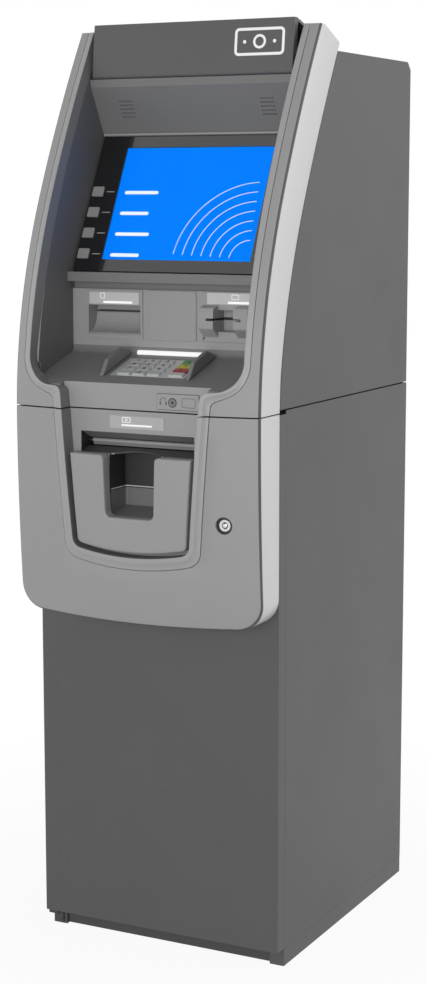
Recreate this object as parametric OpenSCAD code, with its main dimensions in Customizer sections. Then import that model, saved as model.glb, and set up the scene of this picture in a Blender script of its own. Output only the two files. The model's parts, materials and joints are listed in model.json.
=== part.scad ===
// Free-standing cash machine: safe cabinet, lift-up head fascia, swinging safe door.
// Millimetres, +Z up, X to the viewer's right, +Y towards the back.

/* [Cabinet] */
// Width over the side panels
cabinet_w = 400; // [390:5:410]
// Depth of the cabinet behind its front plane
cabinet_d = 460; // [440:10:500]
// Height of the skids under the safe
skid_h = 28; // [20:1:35]
// Height of the top of the safe
safe_top = 826; // [824:1:828]
// Height of the roof of the head housing
roof_z = 1342; // [1338:1:1344]
// Steel thickness of the safe walls
safe_t = 6; // [5:1:8]
// Sheet thickness of the head housing
sheet_t = 3; // [2:0.5:4]

/* [Fascia] */
// How far the middle of the fascia stands in front of its sides
bulge = 20; // [14:1:22]
// Depth of the soft edge round the fascia
edge_soft = 3.5; // [2:0.5:4]
// Wall thickness of the fascia moulding
skin = 4; // [3:0.5:5]
// Height of the trim bead above the fascia, round the cash pocket
bead = 4; // [3:0.5:4]
// Its height up the sides of the head
bead_flush = 0.4; // [0.3:0.1:0.8]
// Width of the bead's crest
crest_w = 6.8; // [6:0.2:7]
// Gap between the head fascia and the door fascia
seam_gap = 2; // [1.5:0.5:2.5]

/* [Screen] */
// Width of the lit part of the display
display_w = 246; // [240:1:250]
// Height of the lit part of the display
display_h = 184.5; // [180:0.5:188]
// Lean of the display from upright, degrees
screen_lean = 26.3; // [26:0.1:26.6]
// Thickness of the front glass
glass_t = 4; // [3:0.5:5]

/* [Keys] */
// Travel of the keys beside the screen
menu_travel = 1.5; // [1:0.1:2]
// Travel of the keypad keys
key_travel = 2; // [1:0.1:2.5]
// Sideways pitch of the keypad keys
key_pitch_x = 24.5; // [23:0.5:24.5]
// Front to back pitch of the keypad keys
key_pitch_y = 14.7; // [14:0.1:15]

/* [Fits] */
// Radial clearance of a pin in its bore
pin_clear = 0.05; // [0.02:0.01:0.1]
// Radius of the door hinge pins
door_pin_r = 4; // [3.5:0.5:5]
// Radius of the head hinge pins
head_pin_r = 3; // [3:0.5:3.5]

/* [Hidden] */
$fn = 48;

// Colours
c_paint = "#5f5f60";
c_paint_dark = "#3c3c3d";
c_fascia = "#989898";
c_strip = "#c0c0c0";
c_trim = "#a2a2a2";
c_steel = "#b8babd";
c_black = "#161617";
c_inner = "#6a6a6b";

half_w = cabinet_w / 2;
eps = 0.01;

// Side view of the fascia: front edge and rear edge as y over height z
face_y = -87.3;         // foremost line of the fascia's side edge
face_z = 805;           // its height
tuck = 0.000151;        // how the face tucks in below it
brow_z = 813;           // the face starts to lean back here
brow = 0.00069;         // growth of the lean
brow_end = 1133;        // above this the lean grows more slowly
brow_slow = 0.00033;
rim_y = -22.4;          // rear edge of the fascia in its upright part
rim_extra = 15.6;       // how much deeper the side gets towards the top
rim_z0 = 880;
rim_span = 450;
top_z = 1377;           // top of the fascia's sides
bevel_top = [124.5, 1376.4]; // the straight bevel at their top end, from here, as [y, z]
bevel_end = [178.8, 1353.8]; // down to here

function sq(v) = v * v;
function edge_y(z) =
    z < face_z ? face_y + tuck * sq(face_z - z)
    : z < brow_z ? face_y
    : z < brow_end ? face_y + brow * sq(z - brow_z)
    : face_y + brow * sq(brow_end - brow_z) + 2 * brow * (brow_end - brow_z) * (z - brow_end)
      + brow_slow * sq(z - brow_end);
function rim_at(z) =
    z < brow_z + 17 ? rim_y
    : edge_y(z) + (rim_y - face_y) + rim_extra * sin(90 * min(1, max(0, (z - rim_z0) / rim_span)));
// The rear edge stops at the bevel, which cuts the top end
function bevel_y(z) = z <= bevel_end[1] ? bevel_end[0]
    : bevel_end[0] - (bevel_end[0] - bevel_top[0]) * min(1, (z - bevel_end[1]) / (bevel_top[1] - bevel_end[1]));
function rear_y(z) = min(rim_at(z), bevel_y(z));
// Front surface: the side edge, the plan bulge and a soft edge at distance d from the outline
function soft(d) = d >= 6 ? edge_soft : edge_soft * sqrt(1 - sq((6 - d) / 6));
function face_at(x, z, d) = edge_y(z) + edge_soft - soft(d) - bulge * (1 - sq(x / half_w));

// Outlines in front view, right half, from the top down. Corners are [x, z, radius].
function unit(v) = v / norm(v);
function arc_at(p, q, r, rad, n) =
    let (u = unit(p - q), v = unit(r - q), half = acos(u * v) / 2,
         reach = rad / tan(half), a = q + u * reach, m = unit(u + v),
         c = q + m * (rad / sin(half)), a0 = atan2(a[1] - c[1], a[0] - c[0]),
         b = q + v * reach, a1 = atan2(b[1] - c[1], b[0] - c[0]),
         sweep = a1 - a0 > 180 ? a1 - a0 - 360 : a1 - a0 < -180 ? a1 - a0 + 360 : a1 - a0)
    [for (i = [0 : n]) c + rad * [cos(a0 + sweep * i / n), sin(a0 + sweep * i / n)]];
function mix(a, b, n) = [for (i = [1 : n - 1]) a + (b - a) * i / n];
function xz(c) = [c[0], c[1]];

seam_z = safe_top + 2;
upper_seam = seam_z + seam_gap / 2;
lower_seam = seam_z - seam_gap / 2;
arc_n = 6;

// Head: strip, shoulder and neck down to the seam
function head_outline(top, hip, neck, foot) =
    let (a = arc_at(xz(top), xz(hip), xz(neck), hip[2], arc_n),
         b = arc_at(xz(hip), xz(neck), xz(foot), neck[2], arc_n))
    concat([xz(top)], mix(xz(top), a[0], 9), a, mix(a[arc_n], b[0], 2), b, [xz(foot)]);
head_groove = head_outline([184.6, top_z], [184.6, 866.8, 50], [129.3, 845.8, 10], [127.8, upper_seam]);
head_inner = head_outline([174.8, top_z], [174.8, 863.4, 42], [114.5, 861, 12], [111.4, upper_seam]);
head_outer = [for (p = head_groove) [half_w, p[1]]];

// Door: down the side of the pocket, round its corner and along the bottom arc
bottom_r = 430;
bead_foot = 618;
function door_outline(seam, corner, foot_z, r_bottom) =
    let (cx = corner[0], cz = foot_z + r_bottom - sqrt(sq(r_bottom) - sq(cx)),
         ahead = [cx - 20, foot_z + r_bottom - sqrt(sq(r_bottom) - sq(cx - 20))],
         a = arc_at(xz(seam), [cx, cz], ahead, corner[1], arc_n),
         x_end = a[arc_n][0], n = 6)
    concat([xz(seam)], mix(xz(seam), a[0], 5), a,
           [for (i = [1 : n]) let (x = x_end * (1 - i / n)) [x, foot_z + r_bottom - sqrt(sq(r_bottom) - sq(x))]]);
door_groove = door_outline([127.6, lower_seam], [110.6, 25], 599.5, bottom_r);
door_inner = door_outline([111.2, lower_seam], [95.5, 16], bead_foot, bottom_r);
door_outer = door_outline([half_w, lower_seam], [half_w, 38], 518, 2600);
panel_top = 765;
panel_t = 17;
notch_top = 42;
notch_z = 675;
panel_edge = door_outline([99.5, panel_top], [89.5, 8], 624.5, bottom_r);

function flip(p) = [-p[0], p[1]];
// Left seam, round the bottom, to the right seam
function loop_path(path) = let (n = len(path))
    concat([for (i = [0 : n - 1]) flip(path[i])], [for (i = [n - 2 : -1 : 0]) path[i]]);

// A closed solid through a row of closed sections with the same number of points.
// cap lists the triangles of an end that isn't convex.
module loft(sections, cap = []) {
    m = len(sections[0]);
    n = len(sections);
    ends = len(cap) > 0 ? cap : [[for (j = [0 : m - 1]) j]];
    polyhedron(
        points = [for (s = sections) each s],
        faces = concat(
            ends,
            [for (i = [0 : n - 2], j = [0 : m - 1])
                let (a = i * m + j, b = i * m + (j + 1) % m) [a, a + m, b + m]],
            [for (i = [0 : n - 2], j = [0 : m - 1])
                let (a = i * m + j, b = i * m + (j + 1) % m) [a, b + m, b]],
            [for (t = ends) [for (j = [len(t) - 1 : -1 : 0]) (n - 1) * m + t[j]]]),
        convexity = 10);
}

// Section of the fascia between the groove g and the outline o, with the narrow joint line beside the strip
front_steps = [0, 0.5];
edge_steps = [6, 2.5, 0.6, 0];
line_y = [0.6, 3.2];    // the joint line, behind the front edge
line_d = 2;             // and its depth
fascia_cap = [[0, 1, 12], [1, 11, 12], [1, 2, 11], [2, 10, 11], [2, 3, 10], [3, 7, 10],
              [3, 4, 7], [4, 5, 7], [5, 6, 7], [7, 8, 9], [7, 9, 10]];
function fascia_section(g, o) =
    let (dir = unit(g - o), e = edge_y(o[1]) + edge_soft,
         at = function (d) o + dir * d,
         pts = concat([for (s = front_steps) g + (at(6) - g) * s], [for (d = edge_steps) at(d)]),
         dist = concat([for (s = front_steps) 6], edge_steps),
         out = function (p, y) [p[0], y, p[1]])
    concat(
        [for (i = [0 : len(pts) - 1]) out(pts[i], face_at(pts[i][0], pts[i][1], dist[i]))],
        [out(o, e + line_y[0]), out(at(line_d), e + line_y[0]), out(at(line_d), e + line_y[1]),
         out(at(skin), e + line_y[1])],
        [for (s = [1, 0.5, 0]) let (p = g + (at(skin) - g) * s) out(p, face_at(p[0], p[1], 6) + skin)]);
// Section of the side strip on the outline o, from the joint line to its rear edge
function strip_section(g, o, back, gap = 0.05) =
    let (p = o + unit(g - o) * skin, e = edge_y(o[1]) + edge_soft + line_y[1] + gap)
    [[o[0], e, o[1]], [o[0], back, o[1]], [p[0], back, p[1]], [p[0], e, p[1]]];

// Section of the trim bead between the groove g and the inner edge e, with its return wall.
// Low down it is a flat raised crest with a hollow slope beside it, and up the head it lies flush.
trim_gap = 0.8;
trim_t = 1.8;
bead_nose = 1.2;
flush_z = [850, 885];
function bead_lift(z) = let (s = min(1, max(0, (z - flush_z[0]) / (flush_z[1] - flush_z[0]))))
    bead + (bead_flush - bead) * s * s * (3 - 2 * s);
trim_cap = [[0, 1, 9], [1, 8, 9], [1, 2, 8], [2, 3, 8], [3, 7, 8], [3, 4, 7], [4, 5, 7], [5, 6, 7]];
function trim_section(g, e, back, lean = 0) =
    let (dir = unit(e - g), w = norm(e - g), start = g + dir * trim_gap,
         crest = e - dir * min(w * 0.5, crest_w), wall = e - dir * trim_t,
         lift = bead_lift(e[1]),
         f = function (p, up) [p[0], face_at(p[0], p[1], 6) - up, p[1]],
         deep = function (p) [p[0] + dir[0] * lean, back, p[1] + dir[1] * lean])
    [f(start, 0), f(start + (crest - start) * 0.5, lift * 0.22), f(crest, lift),
     f(e - dir * bead_nose, lift), f(e, lift * 0.8), deep(e), deep(wall),
     f(wall, -trim_t), f(crest, -trim_t), f(start, -trim_t)];

// The foremost point is the bead below the cash pocket or the top corner of the panel's notch
front_most = min(face_at(0, bead_foot - bead_nose, 6) - bead, face_at(notch_top, panel_top, 6));
module in_place() translate([0, -(cabinet_d + front_most) / 2, 0]) children();

module along_x(x0, x1) translate([x0, 0, 0]) rotate([90, 0, 90]) linear_extrude(x1 - x0) children();
module along_y(y0, y1) translate([0, y1, 0]) rotate([90, 0, 0]) linear_extrude(y1 - y0) children();
module box(a, b) translate(a) cube(b - a);
module pin_x(x0, x1, y, z, r) translate([x0, y, z]) rotate([0, 90, 0]) cylinder(h = x1 - x0, r = r);
module pin_y(y0, y1, x, z, r) translate([x, y0, z]) rotate([-90, 0, 0]) cylinder(h = y1 - y0, r = r);
module pin_z(z0, z1, x, y, r) translate([x, y, z0]) cylinder(h = z1 - z0, r = r);
module mirrored() { children(); mirror([1, 0, 0]) children(); }

// ---- Cabinet ----
skid_w = 23.7;
cabinet_back = cabinet_d;
floor_top = skid_h + safe_t;
safe_in = half_w - safe_t;
door_axis = [-189.5, -11];
anchor_x = 140;
anchor_y = 150;
anchor_mid = cabinet_d / 2;
anchor_r = 7;
entry_y = 400;
entry_r = 20;
loom_y = 400;
loom_r = 15;

module base_frame() color(c_paint_dark) {
    mirrored() box([half_w - skid_w, 0, 0], [half_w, cabinet_d, skid_h]);
    box([-half_w + skid_w, 4, 2], [half_w - skid_w, 10, skid_h]);
    box([-half_w + skid_w, cabinet_d - 30, 0], [half_w - skid_w, cabinet_d, skid_h]);
}

// Welded from plates: two sides, a floor, a roof with the plinth of the housing, a back and a door frame.
// A thin rim stands up round the roof, close under the housing.
rim_top = safe_top + 5.2;
rim_t = 2.2;
module safe_sides() color(c_paint) mirrored() {
    box([half_w - safe_t, 0, skid_h], [half_w, cabinet_d, safe_top]);
    box([half_w - rim_t, 0, safe_top - eps], [half_w, cabinet_d, rim_top]);
    box([half_w - safe_t, cabinet_d - rim_t, safe_top - eps], [half_w, cabinet_d, rim_top]);
}

module safe_floor() color(c_paint) difference() {
    box([-safe_in, 0, skid_h], [safe_in, cabinet_d, floor_top]);
    for (sx = [-1, 1], sy = [-1, 1])
        pin_z(skid_h - 1, floor_top + 1, sx * anchor_x, anchor_mid + sy * anchor_y, anchor_r);
    pin_z(skid_h - 1, floor_top + 1, 0, entry_y, entry_r);
}

module safe_roof() color(c_paint) difference() {
    union() {
        box([-safe_in, 0, safe_top - safe_t], [safe_in, cabinet_d, safe_top]);
        box([-half_w + 16, 60, safe_top - eps], [half_w - 16, cabinet_d - 15, house_z]);
        box([-safe_in, cabinet_d - rim_t, safe_top - eps], [safe_in, cabinet_d, rim_top]);
    }
    pin_z(safe_top - safe_t - 1, house_z + 1, 150, loom_y, loom_r);
}

module safe_back() color(c_paint)
    box([-safe_in, cabinet_d - safe_t, floor_top], [safe_in, cabinet_d, safe_top - safe_t]);

module safe_frame() color(c_paint) difference() {
    box([-safe_in, 0, floor_top], [safe_in, 24, safe_top - safe_t]);
    box([-half_w + 26, -1, floor_top + 14], [half_w - 26, 25, safe_top - 26]);
}

house_gap = 1.5;
house_z = 833;
floor_z = house_z + sheet_t;
module house_profile(inset = 0) {
    n = 16;
    z0 = house_z + (inset > 0 ? -1 : 0);
    z1 = roof_z - inset;
    front = [for (i = [0 : n]) let (z = z0 + (z1 - z0) * i / n) [rear_y(z) + house_gap - inset * 2, z]];
    polygon(concat(front, [[cabinet_d - 12 - inset, z1], [cabinet_d - inset, z1 - 12],
                           [cabinet_d - inset, z0]]));
}
cover_w = 280;
cover_z0 = 930;
cover_z1 = 1250;
module housing_shell() color(c_paint) difference() {
    union() {
        difference() {
            along_x(-half_w, half_w) house_profile();
            along_x(-half_w + sheet_t, half_w - sheet_t) house_profile(sheet_t);
        }
        box([-half_w + sheet_t - eps, 60, house_z], [half_w - sheet_t + eps, cabinet_d - sheet_t + eps, floor_z]);
    }
    box([-cover_w / 2, cabinet_d - 20, cover_z0], [cover_w / 2, cabinet_d + 1, cover_z1]);
    box([100, cabinet_d - 20, 860], [148, cabinet_d + 1, 890]);
    pin_z(house_z - 1, floor_z + 1, 150, loom_y, loom_r);
}

module rear_cover() color(c_paint) difference() {
    box([-cover_w / 2 + 1, cabinet_d - 3.5, cover_z0 + 1], [cover_w / 2 - 1, cabinet_d - 1, cover_z1 - 1]);
    for (i = [0 : 9], sx = [-1, 1])
        box([sx * 62 - 45, cabinet_d - 8, 1110 + i * 12], [sx * 62 + 45, cabinet_d + 1, 1115 + i * 12]);
}

module power_inlet() color(c_black) difference() {
    union() {
        box([100.5, cabinet_d - 34, 860.5], [147.5, cabinet_d - 2, 889.5]);
        box([96, cabinet_d - 6, 857], [152, cabinet_d - 3.05, 893]);
    }
    box([110, cabinet_d - 22, 865], [138, cabinet_d + 1, 884]);
}

module computer_unit() color(c_steel) {
    box([-150, 250, floor_z], [110, 425, floor_z + 3]);
    box([-130, 260, floor_z + 3], [90, 420, floor_z + 95]);
}

// ---- Cash dispenser in the safe ----
rack_x = 132;
rack_t = 3;
feed_y = 70;
feed_z = 764;
roll_r = 12;
axle_r = 4;
pinch_z = feed_z + 2 * roll_r + 0.4;
module dispenser_frame() color(c_steel) difference() {
    union() {
        mirrored() box([rack_x, 34, floor_top], [rack_x + rack_t, 420, 806]);
        box([-rack_x, 40, 408], [rack_x, 410, 414]);
        box([-rack_x, 40, 640], [rack_x, 410, 644]);
        box([-rack_x, 90, 740], [rack_x, 410, 743]);
    }
    for (z = [feed_z, pinch_z]) pin_x(-rack_x - 10, rack_x + 10, feed_y, z, axle_r + pin_clear);
}

module cash_cassette() color(c_inner) {
    difference() {
        box([-112, 44, 414], [112, 400, 600]);
        box([-106, 50, 420], [106, 394, 601]);
    }
    difference() {
        box([-40, 36, 500], [40, 44, 530]);
        box([-32, 35, 507], [32, 41, 523]);
    }
}

module roller(z) {
    pin_x(-rack_x - rack_t - 6, rack_x + rack_t + 6, feed_y, z, axle_r);
    for (x = [-75, -25, 25, 75]) pin_x(x - 14, x + 14, feed_y, z, roll_r);
}
module feed_roller() color(c_black) roller(feed_z);
module pinch_roller() color(c_black) roller(pinch_z);

// ---- Hinges ----
head_axis = [180, 1348];
hinge_x = 150;
module door_hinge_pins() color(c_steel) {
    box([door_axis[0] - 8, door_axis[1] - 8, skid_h - 6], [door_axis[0] + 8, 0, skid_h - 1.5]);
    box([door_axis[0] - 8, -3, 3], [door_axis[0] + 8, 0, skid_h - 3]);
    pin_z(skid_h - 3, skid_h + 26, door_axis[0], door_axis[1], door_pin_r);
    box([door_axis[0] - 8, door_axis[1] - 8, safe_top + 1.5], [door_axis[0] + 8, 58, safe_top + 6]);
    box([door_axis[0] - 8, 8, safe_top], [door_axis[0] + 8, 58, safe_top + 3]);
    pin_z(safe_top - 26, safe_top + 3, door_axis[0], door_axis[1], door_pin_r);
}

module head_hinge_brackets() color(c_steel) mirrored() difference() {
    union() {
        pin_x(hinge_x - 10, hinge_x + 10, head_axis[0], head_axis[1], 5.6);
        box([hinge_x - 10, head_axis[0], roof_z], [hinge_x + 10, head_axis[0] + 22, roof_z + 3]);
        box([hinge_x - 10, head_axis[0] + 1, roof_z], [hinge_x + 10, head_axis[0] + 5, roof_z + 6]);
    }
    pin_x(hinge_x - 11, hinge_x + 11, head_axis[0], head_axis[1], head_pin_r + pin_clear);
}

// ---- Head fascia ----
module upper_fascia() color(c_fascia) mirrored() {
    n = len(head_groove);
    loft([for (i = [n - 1 : -1 : 0]) fascia_section(head_groove[i], [half_w, head_groove[i][1]])], fascia_cap);
}

// Light strips down the sides of the head, and the caps that close their top ends
module head_strips() color(c_strip) mirrored() {
    n = len(head_groove);
    zs = concat([for (i = [n - 1 : -1 : 1]) head_groove[i][1]], [bevel_end[1], bevel_top[1]]);
    loft([for (z = zs) strip_section([0, z], [half_w, z], rear_y(z), z > bevel_end[1] - 1 ? 0.25 : 0.05)]);
    dir = unit(bevel_end - bevel_top);
    in = [-dir[1], dir[0]] * -1;
    along_x(head_inner[0][0] + 3.6, half_w - skin + 1)
        polygon([bevel_top + dir + in * 0.3, bevel_end - dir + in * 0.3, bevel_end - dir + in * 3, bevel_top + dir + in * 3]);
}

// The bead's return wall is deeper at the neck, where no side wall meets it. Up the sides it
// leans in to meet that wall.
return_d = 28.8;
function trim_depth(z) = z < 866 ? return_d : z > 880 ? return_d - 10 : return_d - 10 * (z - 866) / 14;
module upper_trim() color(c_trim) mirrored() loft([for (i = [0 : len(head_groove) - 1])
    let (g = head_groove[i], e = head_inner[i])
    trim_section(g, e, min(face_at(e[0], e[1], 6) + trim_depth(e[1]), bevel_y(e[1]) - 2),
                 e[1] > 906 ? 3 : 0)], trim_cap);

// Recess: side view from under the sign down to the seam, front faces as [y, z]
wall_x = 171.4;
panel_y = 31;
apron_y = -79;
shelf_rise = 35 / 110;
shelf_front = 866;
plate_t = 3;
screen_mid = [76.3, 1121.4];
sl = screen_lean;
function on_glass(v, depth = 0) = [screen_mid[0] + v * sin(sl) + depth * cos(sl),
                                   screen_mid[1] + v * cos(sl) - depth * sin(sl)];
glass_top = 112;
glass_bottom = -111.5;
g_top = on_glass(glass_top, glass_t);
g_bot = on_glass(glass_bottom, glass_t);
shelf_back_z = shelf_front + (panel_y - apron_y) * shelf_rise;
recess_line = [[88.3, 1305.5], [89.5, 1294], [127, 1225], [127.5, 1222] , g_top, g_bot, [16, 1020], [16, 1006],
               [36, 1006], [36, 995], [panel_y, 995], [panel_y, shelf_back_z],
               [apron_y, shelf_front], [apron_y, upper_seam]];
recess_back = [[apron_y + plate_t, upper_seam], [apron_y + plate_t, shelf_front - 3],
               [panel_y + plate_t, shelf_back_z - 3], [panel_y + plate_t + 5, 1003], [g_bot[0] + 3, 1016],
               [g_bot[0] + plate_t + 1, g_bot[1] - 1], [g_top[0] + plate_t, g_top[1] - 2],
               [131, 1226], [93, 1295.5], [91.8, 1305.5]];

receipt_x = [-147, -50];
card_x = [50, 147];
module_z = [921, 994];
blank_w = 39;
shelf_y = -90;

module outline_prism(path, extra, y0, y1) {
    pts = [for (p = path) [p[0] + extra, p[1]]];
    left = [for (i = [len(pts) - 1 : -1 : 0]) if (pts[i][0] > eps) flip(pts[i])];
    along_y(y0, y1) polygon(concat(pts, left));
}

// Plane of the keypad, flush with the shelf, origin at the middle of its front edge
pad_slope = atan(shelf_rise);
pad_front = [-50.7, shelf_front + (-50.7 - apron_y) * shelf_rise];
pad_d = 64;
pad_w = 123;
module on_pad() translate([0, pad_front[0], pad_front[1]]) rotate([pad_slope, 0, 0]) children();
module on_screen() translate([0, screen_mid[0], screen_mid[1]]) rotate([90 - sl, 0, 0]) children();

jack = [59, 842.5];
jack_box = [[34, 832.5], [101, 854.5]];

clip_y = -62;   // in front of this the panel stays inside the trim's return wall
module recess_panel() color(c_inner) {
    difference() {
        intersection() {
            union() {
                along_x(-wall_x, wall_x) polygon(concat(recess_line, recess_back));
                mirrored() along_x(121, wall_x)
                    polygon([[apron_y + 1, shelf_front - 3], [apron_y + 1, shelf_front + 0.3],
                             [shelf_y, shelf_front - (apron_y - shelf_y) * shelf_rise],
                             [shelf_y, shelf_front - 3 - (apron_y - shelf_y) * shelf_rise]]);
                mirrored() along_x(wall_x - eps, wall_x + plate_t) side_wall();
            }
            union() {
                outline_prism(head_inner, -0.2, -130, clip_y + eps);
                box([-half_w, clip_y, upper_seam], [half_w, 200, roof_z]);
            }
        }
        on_screen() box([-display_w / 2 - 8, -display_h / 2 - 6, -30], [display_w / 2 + 8, display_h / 2 + 6, 0]);
        on_screen() for (s = [-1, 1], i = [0 : 3]) translate([s * menu_x, menu_y(i), -30])
            cube([menu_w + 1, menu_h + 1, 60], center = true);
        box([receipt_x[0] + 2, 25, module_z[0] + 2], [receipt_x[1] - 2, 60, module_z[1] - 2]);
        box([card_x[0] + 2, 25, module_z[0] + 2], [card_x[1] - 2, 60, module_z[1] - 2]);
        on_pad() box([-pad_w / 2 - 0.5, -0.5, -20], [pad_w / 2 + 0.5, pad_d + 0.5, 40]);
        pin_y(apron_y - 5, apron_y + 10, jack[0], jack[1], 5.2);
        for (s = [-1, 1], i = [0 : 5], j = [0 : 4])
            translate([s * 118 + (i - 2.5) * 4, 107, 1262 + (j - 2) * 4]) rotate([62, 0, 0])
                cylinder(h = 40, r = 0.9, center = true, $fn = 13);
    }
}

// Side wall of the recess in side view, from the back of the trim to the recess line
module side_wall() {
    n = 24;
    z0 = 880;
    z1 = 1335;
    front = [for (i = [0 : n]) let (z = z0 + (z1 - z0) * i / n) [face_at(wall_x, z, 6) + trim_depth(z) + 1, z]];
    under = function (y) shelf_front - 3 + (y - apron_y) * shelf_rise;
    polygon(concat([[clip_y, under(clip_y)]], front,
                   [[150, 1338], [131, 1222], [44, 1012], [44, 900], [panel_y + 3, under(panel_y + 3)]]));
}

sign_w = 333;
module topper_sign() color(c_paint) along_x(-sign_w / 2, sign_w / 2)
    polygon([[93.2, 1386], [85.4, 1314], [85.2, 1309.5], [87, 1306.5], [90, 1306], [97, 1306], [105.5, 1386]]);

module topper_box() color(c_inner) {
    along_x(-164, 164) difference() {
        polygon([[106.2, 1385], [116, 1384], [146, 1374], [166, 1360], [170.5, 1352], [170.5, 1341], [110, 1306], [97.8, 1306]]);
        polygon([[109, 1381], [144, 1371], [164, 1357.5], [167.5, 1350.5], [167.5, 1343], [109.5, 1309.5], [101, 1309.5]]);
    }
    mirrored() {
        for (x = [hinge_x - 14, hinge_x + 11]) {
            pin_x(x, x + 3, head_axis[0], head_axis[1], 5);
            box([x, 171, 1343.5], [x + 3, head_axis[0], 1352]);
        }
        pin_x(hinge_x - 12, hinge_x + 12, head_axis[0], head_axis[1], head_pin_r);
    }
}

// ---- Screen ----
menu_w = 19;
menu_h = 16;
menu_x = 156.8;
function menu_y(i) = 19 - i * 34.2;
module screen_glass() color(c_black) on_screen() difference() {
    box([-169, glass_bottom, -glass_t + 0.02], [169, glass_top, 0]);
    for (s = [-1, 1], i = [0 : 3]) translate([s * menu_x, menu_y(i), 0])
        cube([menu_w + 0.8, menu_h + 0.8, 20], center = true);
}
module display_module() color("#0a7cff") on_screen() {
    box([-display_w / 2, -display_h / 2, -glass_t - 8], [display_w / 2, display_h / 2, -glass_t - 0.1]);
    box([-display_w / 2 - 7, -display_h / 2 - 5, -36], [display_w / 2 + 7, display_h / 2 + 5, -glass_t - 8]);
}
module menu_key(s, i) color("#8f8f90") on_screen() translate([s * menu_x, menu_y(i), 0]) {
    box([-menu_w / 2, -menu_h / 2, -glass_t - 3], [menu_w / 2, menu_h / 2, 2]);
    box([-4, -4, -glass_t - 12], [4, 4, -glass_t - 3]);
}

// ---- Receipt printer ----
receipt_open = [[-143, 927.5], [-53.7, 971]];
module receipt_bezel() color(c_fascia) difference() {
    union() {
        box([receipt_x[0] + 0.3, panel_y - 2, module_z[0] + 0.3], [receipt_x[1] - 0.3, panel_y - eps, module_z[1] - 0.3]);
        box([receipt_x[0] + 2.3, panel_y - eps, module_z[0] + 2.3], [receipt_x[1] - 2.3, 60, module_z[1] - 2.3]);
    }
    difference() {
        box([receipt_open[0][0], 20, receipt_open[0][1]], [receipt_open[1][0], 56, receipt_open[1][1]]);
        along_x(-150, -40) difference() {
            polygon([[30, 926], [57, 926], [57, 959.5], [54, 959.5]]);
            translate([26, 957]) circle(r = 28, $fn = 72);
        }
    }
    box([receipt_open[0][0] + 3, 50, 960.4], [receipt_open[1][0] - 3, 70, 962.4]);
}
roll_c = [112, 952];
paper_r = 32;
module receipt_printer() color(c_steel) {
    difference() {
        union() {
            for (x = [-150, -53]) box([x, 62, 918], [x + 3, 150, 1000]);
            box([-147, 62, 914.5], [-53, 150, 918]);
            box([-147, 62, 966], [-53, 78, 1000]);
            box([-150, 62, 914.5], [-147, 150, 918]);
            box([-53, 62, 914.5], [-50, 150, 918]);
        }
        pin_x(-160, -40, roll_c[0], roll_c[1], axle_r + pin_clear);
    }
}
module paper_roll() color("#f2f2f0") {
    difference() {
        pin_x(-140, -60, roll_c[0], roll_c[1], paper_r);
        pin_x(-141, -59, roll_c[0], roll_c[1], axle_r - eps);
    }
    pin_x(-152, -48, roll_c[0], roll_c[1], axle_r);
}

// ---- Card reader ----
card_z = 955;
card_mid = 92;
module card_bezel() color(c_fascia) difference() {
    union() {
        box([card_x[0] + 0.3, panel_y - 2, module_z[0] + 0.3], [card_x[1] - 0.3, panel_y - eps, module_z[1] - 0.3]);
        box([card_x[0] + 2.3, panel_y - eps, module_z[0] + 2.3], [card_x[1] - 2.3, 60, module_z[1] - 2.3]);
        for (s = [-1, 1]) along_x(card_mid + (s > 0 ? 16 : -40), card_mid + (s > 0 ? 40 : -16))
            polygon([[panel_y - 2, 975], [14, 972], [12, 966], [12, 942], [17, 937], [panel_y - 2, 929]]);
    }
    box([card_mid - 16, 5, 937], [card_mid + 16, 48, 968]);
    box([card_mid - 28, 5, card_z - 1.6], [card_mid + 28, 70, card_z + 1.6]);
}
module card_reader() color(c_steel) difference() {
    box([60, 60.5, 930], [126, 140, 985]);
    box([card_mid - 28, 55, card_z - 1.6], [card_mid + 28, 135, card_z + 1.6]);
}
module blank_plate() color(c_fascia)
    box([-blank_w, panel_y - 1.8, module_z[0]], [blank_w, panel_y - eps, module_z[1]]);

// ---- Keypad ----
key_w = 20;
wide_w = 23;
key_d = 11.5;
col_x = [-16 - key_pitch_x, -16, -16 + key_pitch_x, 45.5];
function row_y(r) = pad_d - 10.8 - r * key_pitch_y;
function col_w(c) = c == 3 ? wide_w : key_w;
module keypad_plate() color("#c9cacb") on_pad() difference() {
    union() {
        box([-pad_w / 2, 0, -2], [pad_w / 2, pad_d, 0]);
        box([-pad_w / 2, 0, -24], [pad_w / 2, pad_d, -2 + eps]);
    }
    for (r = [0 : 3], c = [0 : 3]) translate([col_x[c], row_y(r), 0])
        cube([col_w(c) + 0.6, key_d + 0.6, 24], center = true);
    box([-pad_w / 2 + 3, 1.5, -21], [pad_w / 2 - 1.5, pad_d - 1.5, -6]);
}
module pad_key(r, c, tint) color(tint) on_pad() translate([col_x[c], row_y(r), 0])
    box([-col_w(c) / 2, -key_d / 2, -9], [col_w(c) / 2, key_d / 2, 2.6]);

// Privacy wings beside the keypad, standing on the shelf, in side view [y, z]
wing_line = [[-59, 872.8], [-41, 897.5], [0, 911.5], [30.5, 901.6]];
wing_x = 67.5;
wing_t = 7;
module keypad_shields() color(c_inner) mirrored() along_x(wing_x, wing_x + wing_t) polygon(wing_line);

module lit_guides() color("white") {
    along_x(-57, 57) polygon([[24, 899.2], [panel_y - 0.05, 901.4], [panel_y - 0.05, 905.5],
                              [26, 905.5], [24, 903.5]]);
    box([-141, panel_y - 3, 972.5], [-56, panel_y - 2 - eps, 990.5]);
    box([58, panel_y - 3, 976.5], [143, panel_y - 2 - eps, 993.5]);
}

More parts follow.
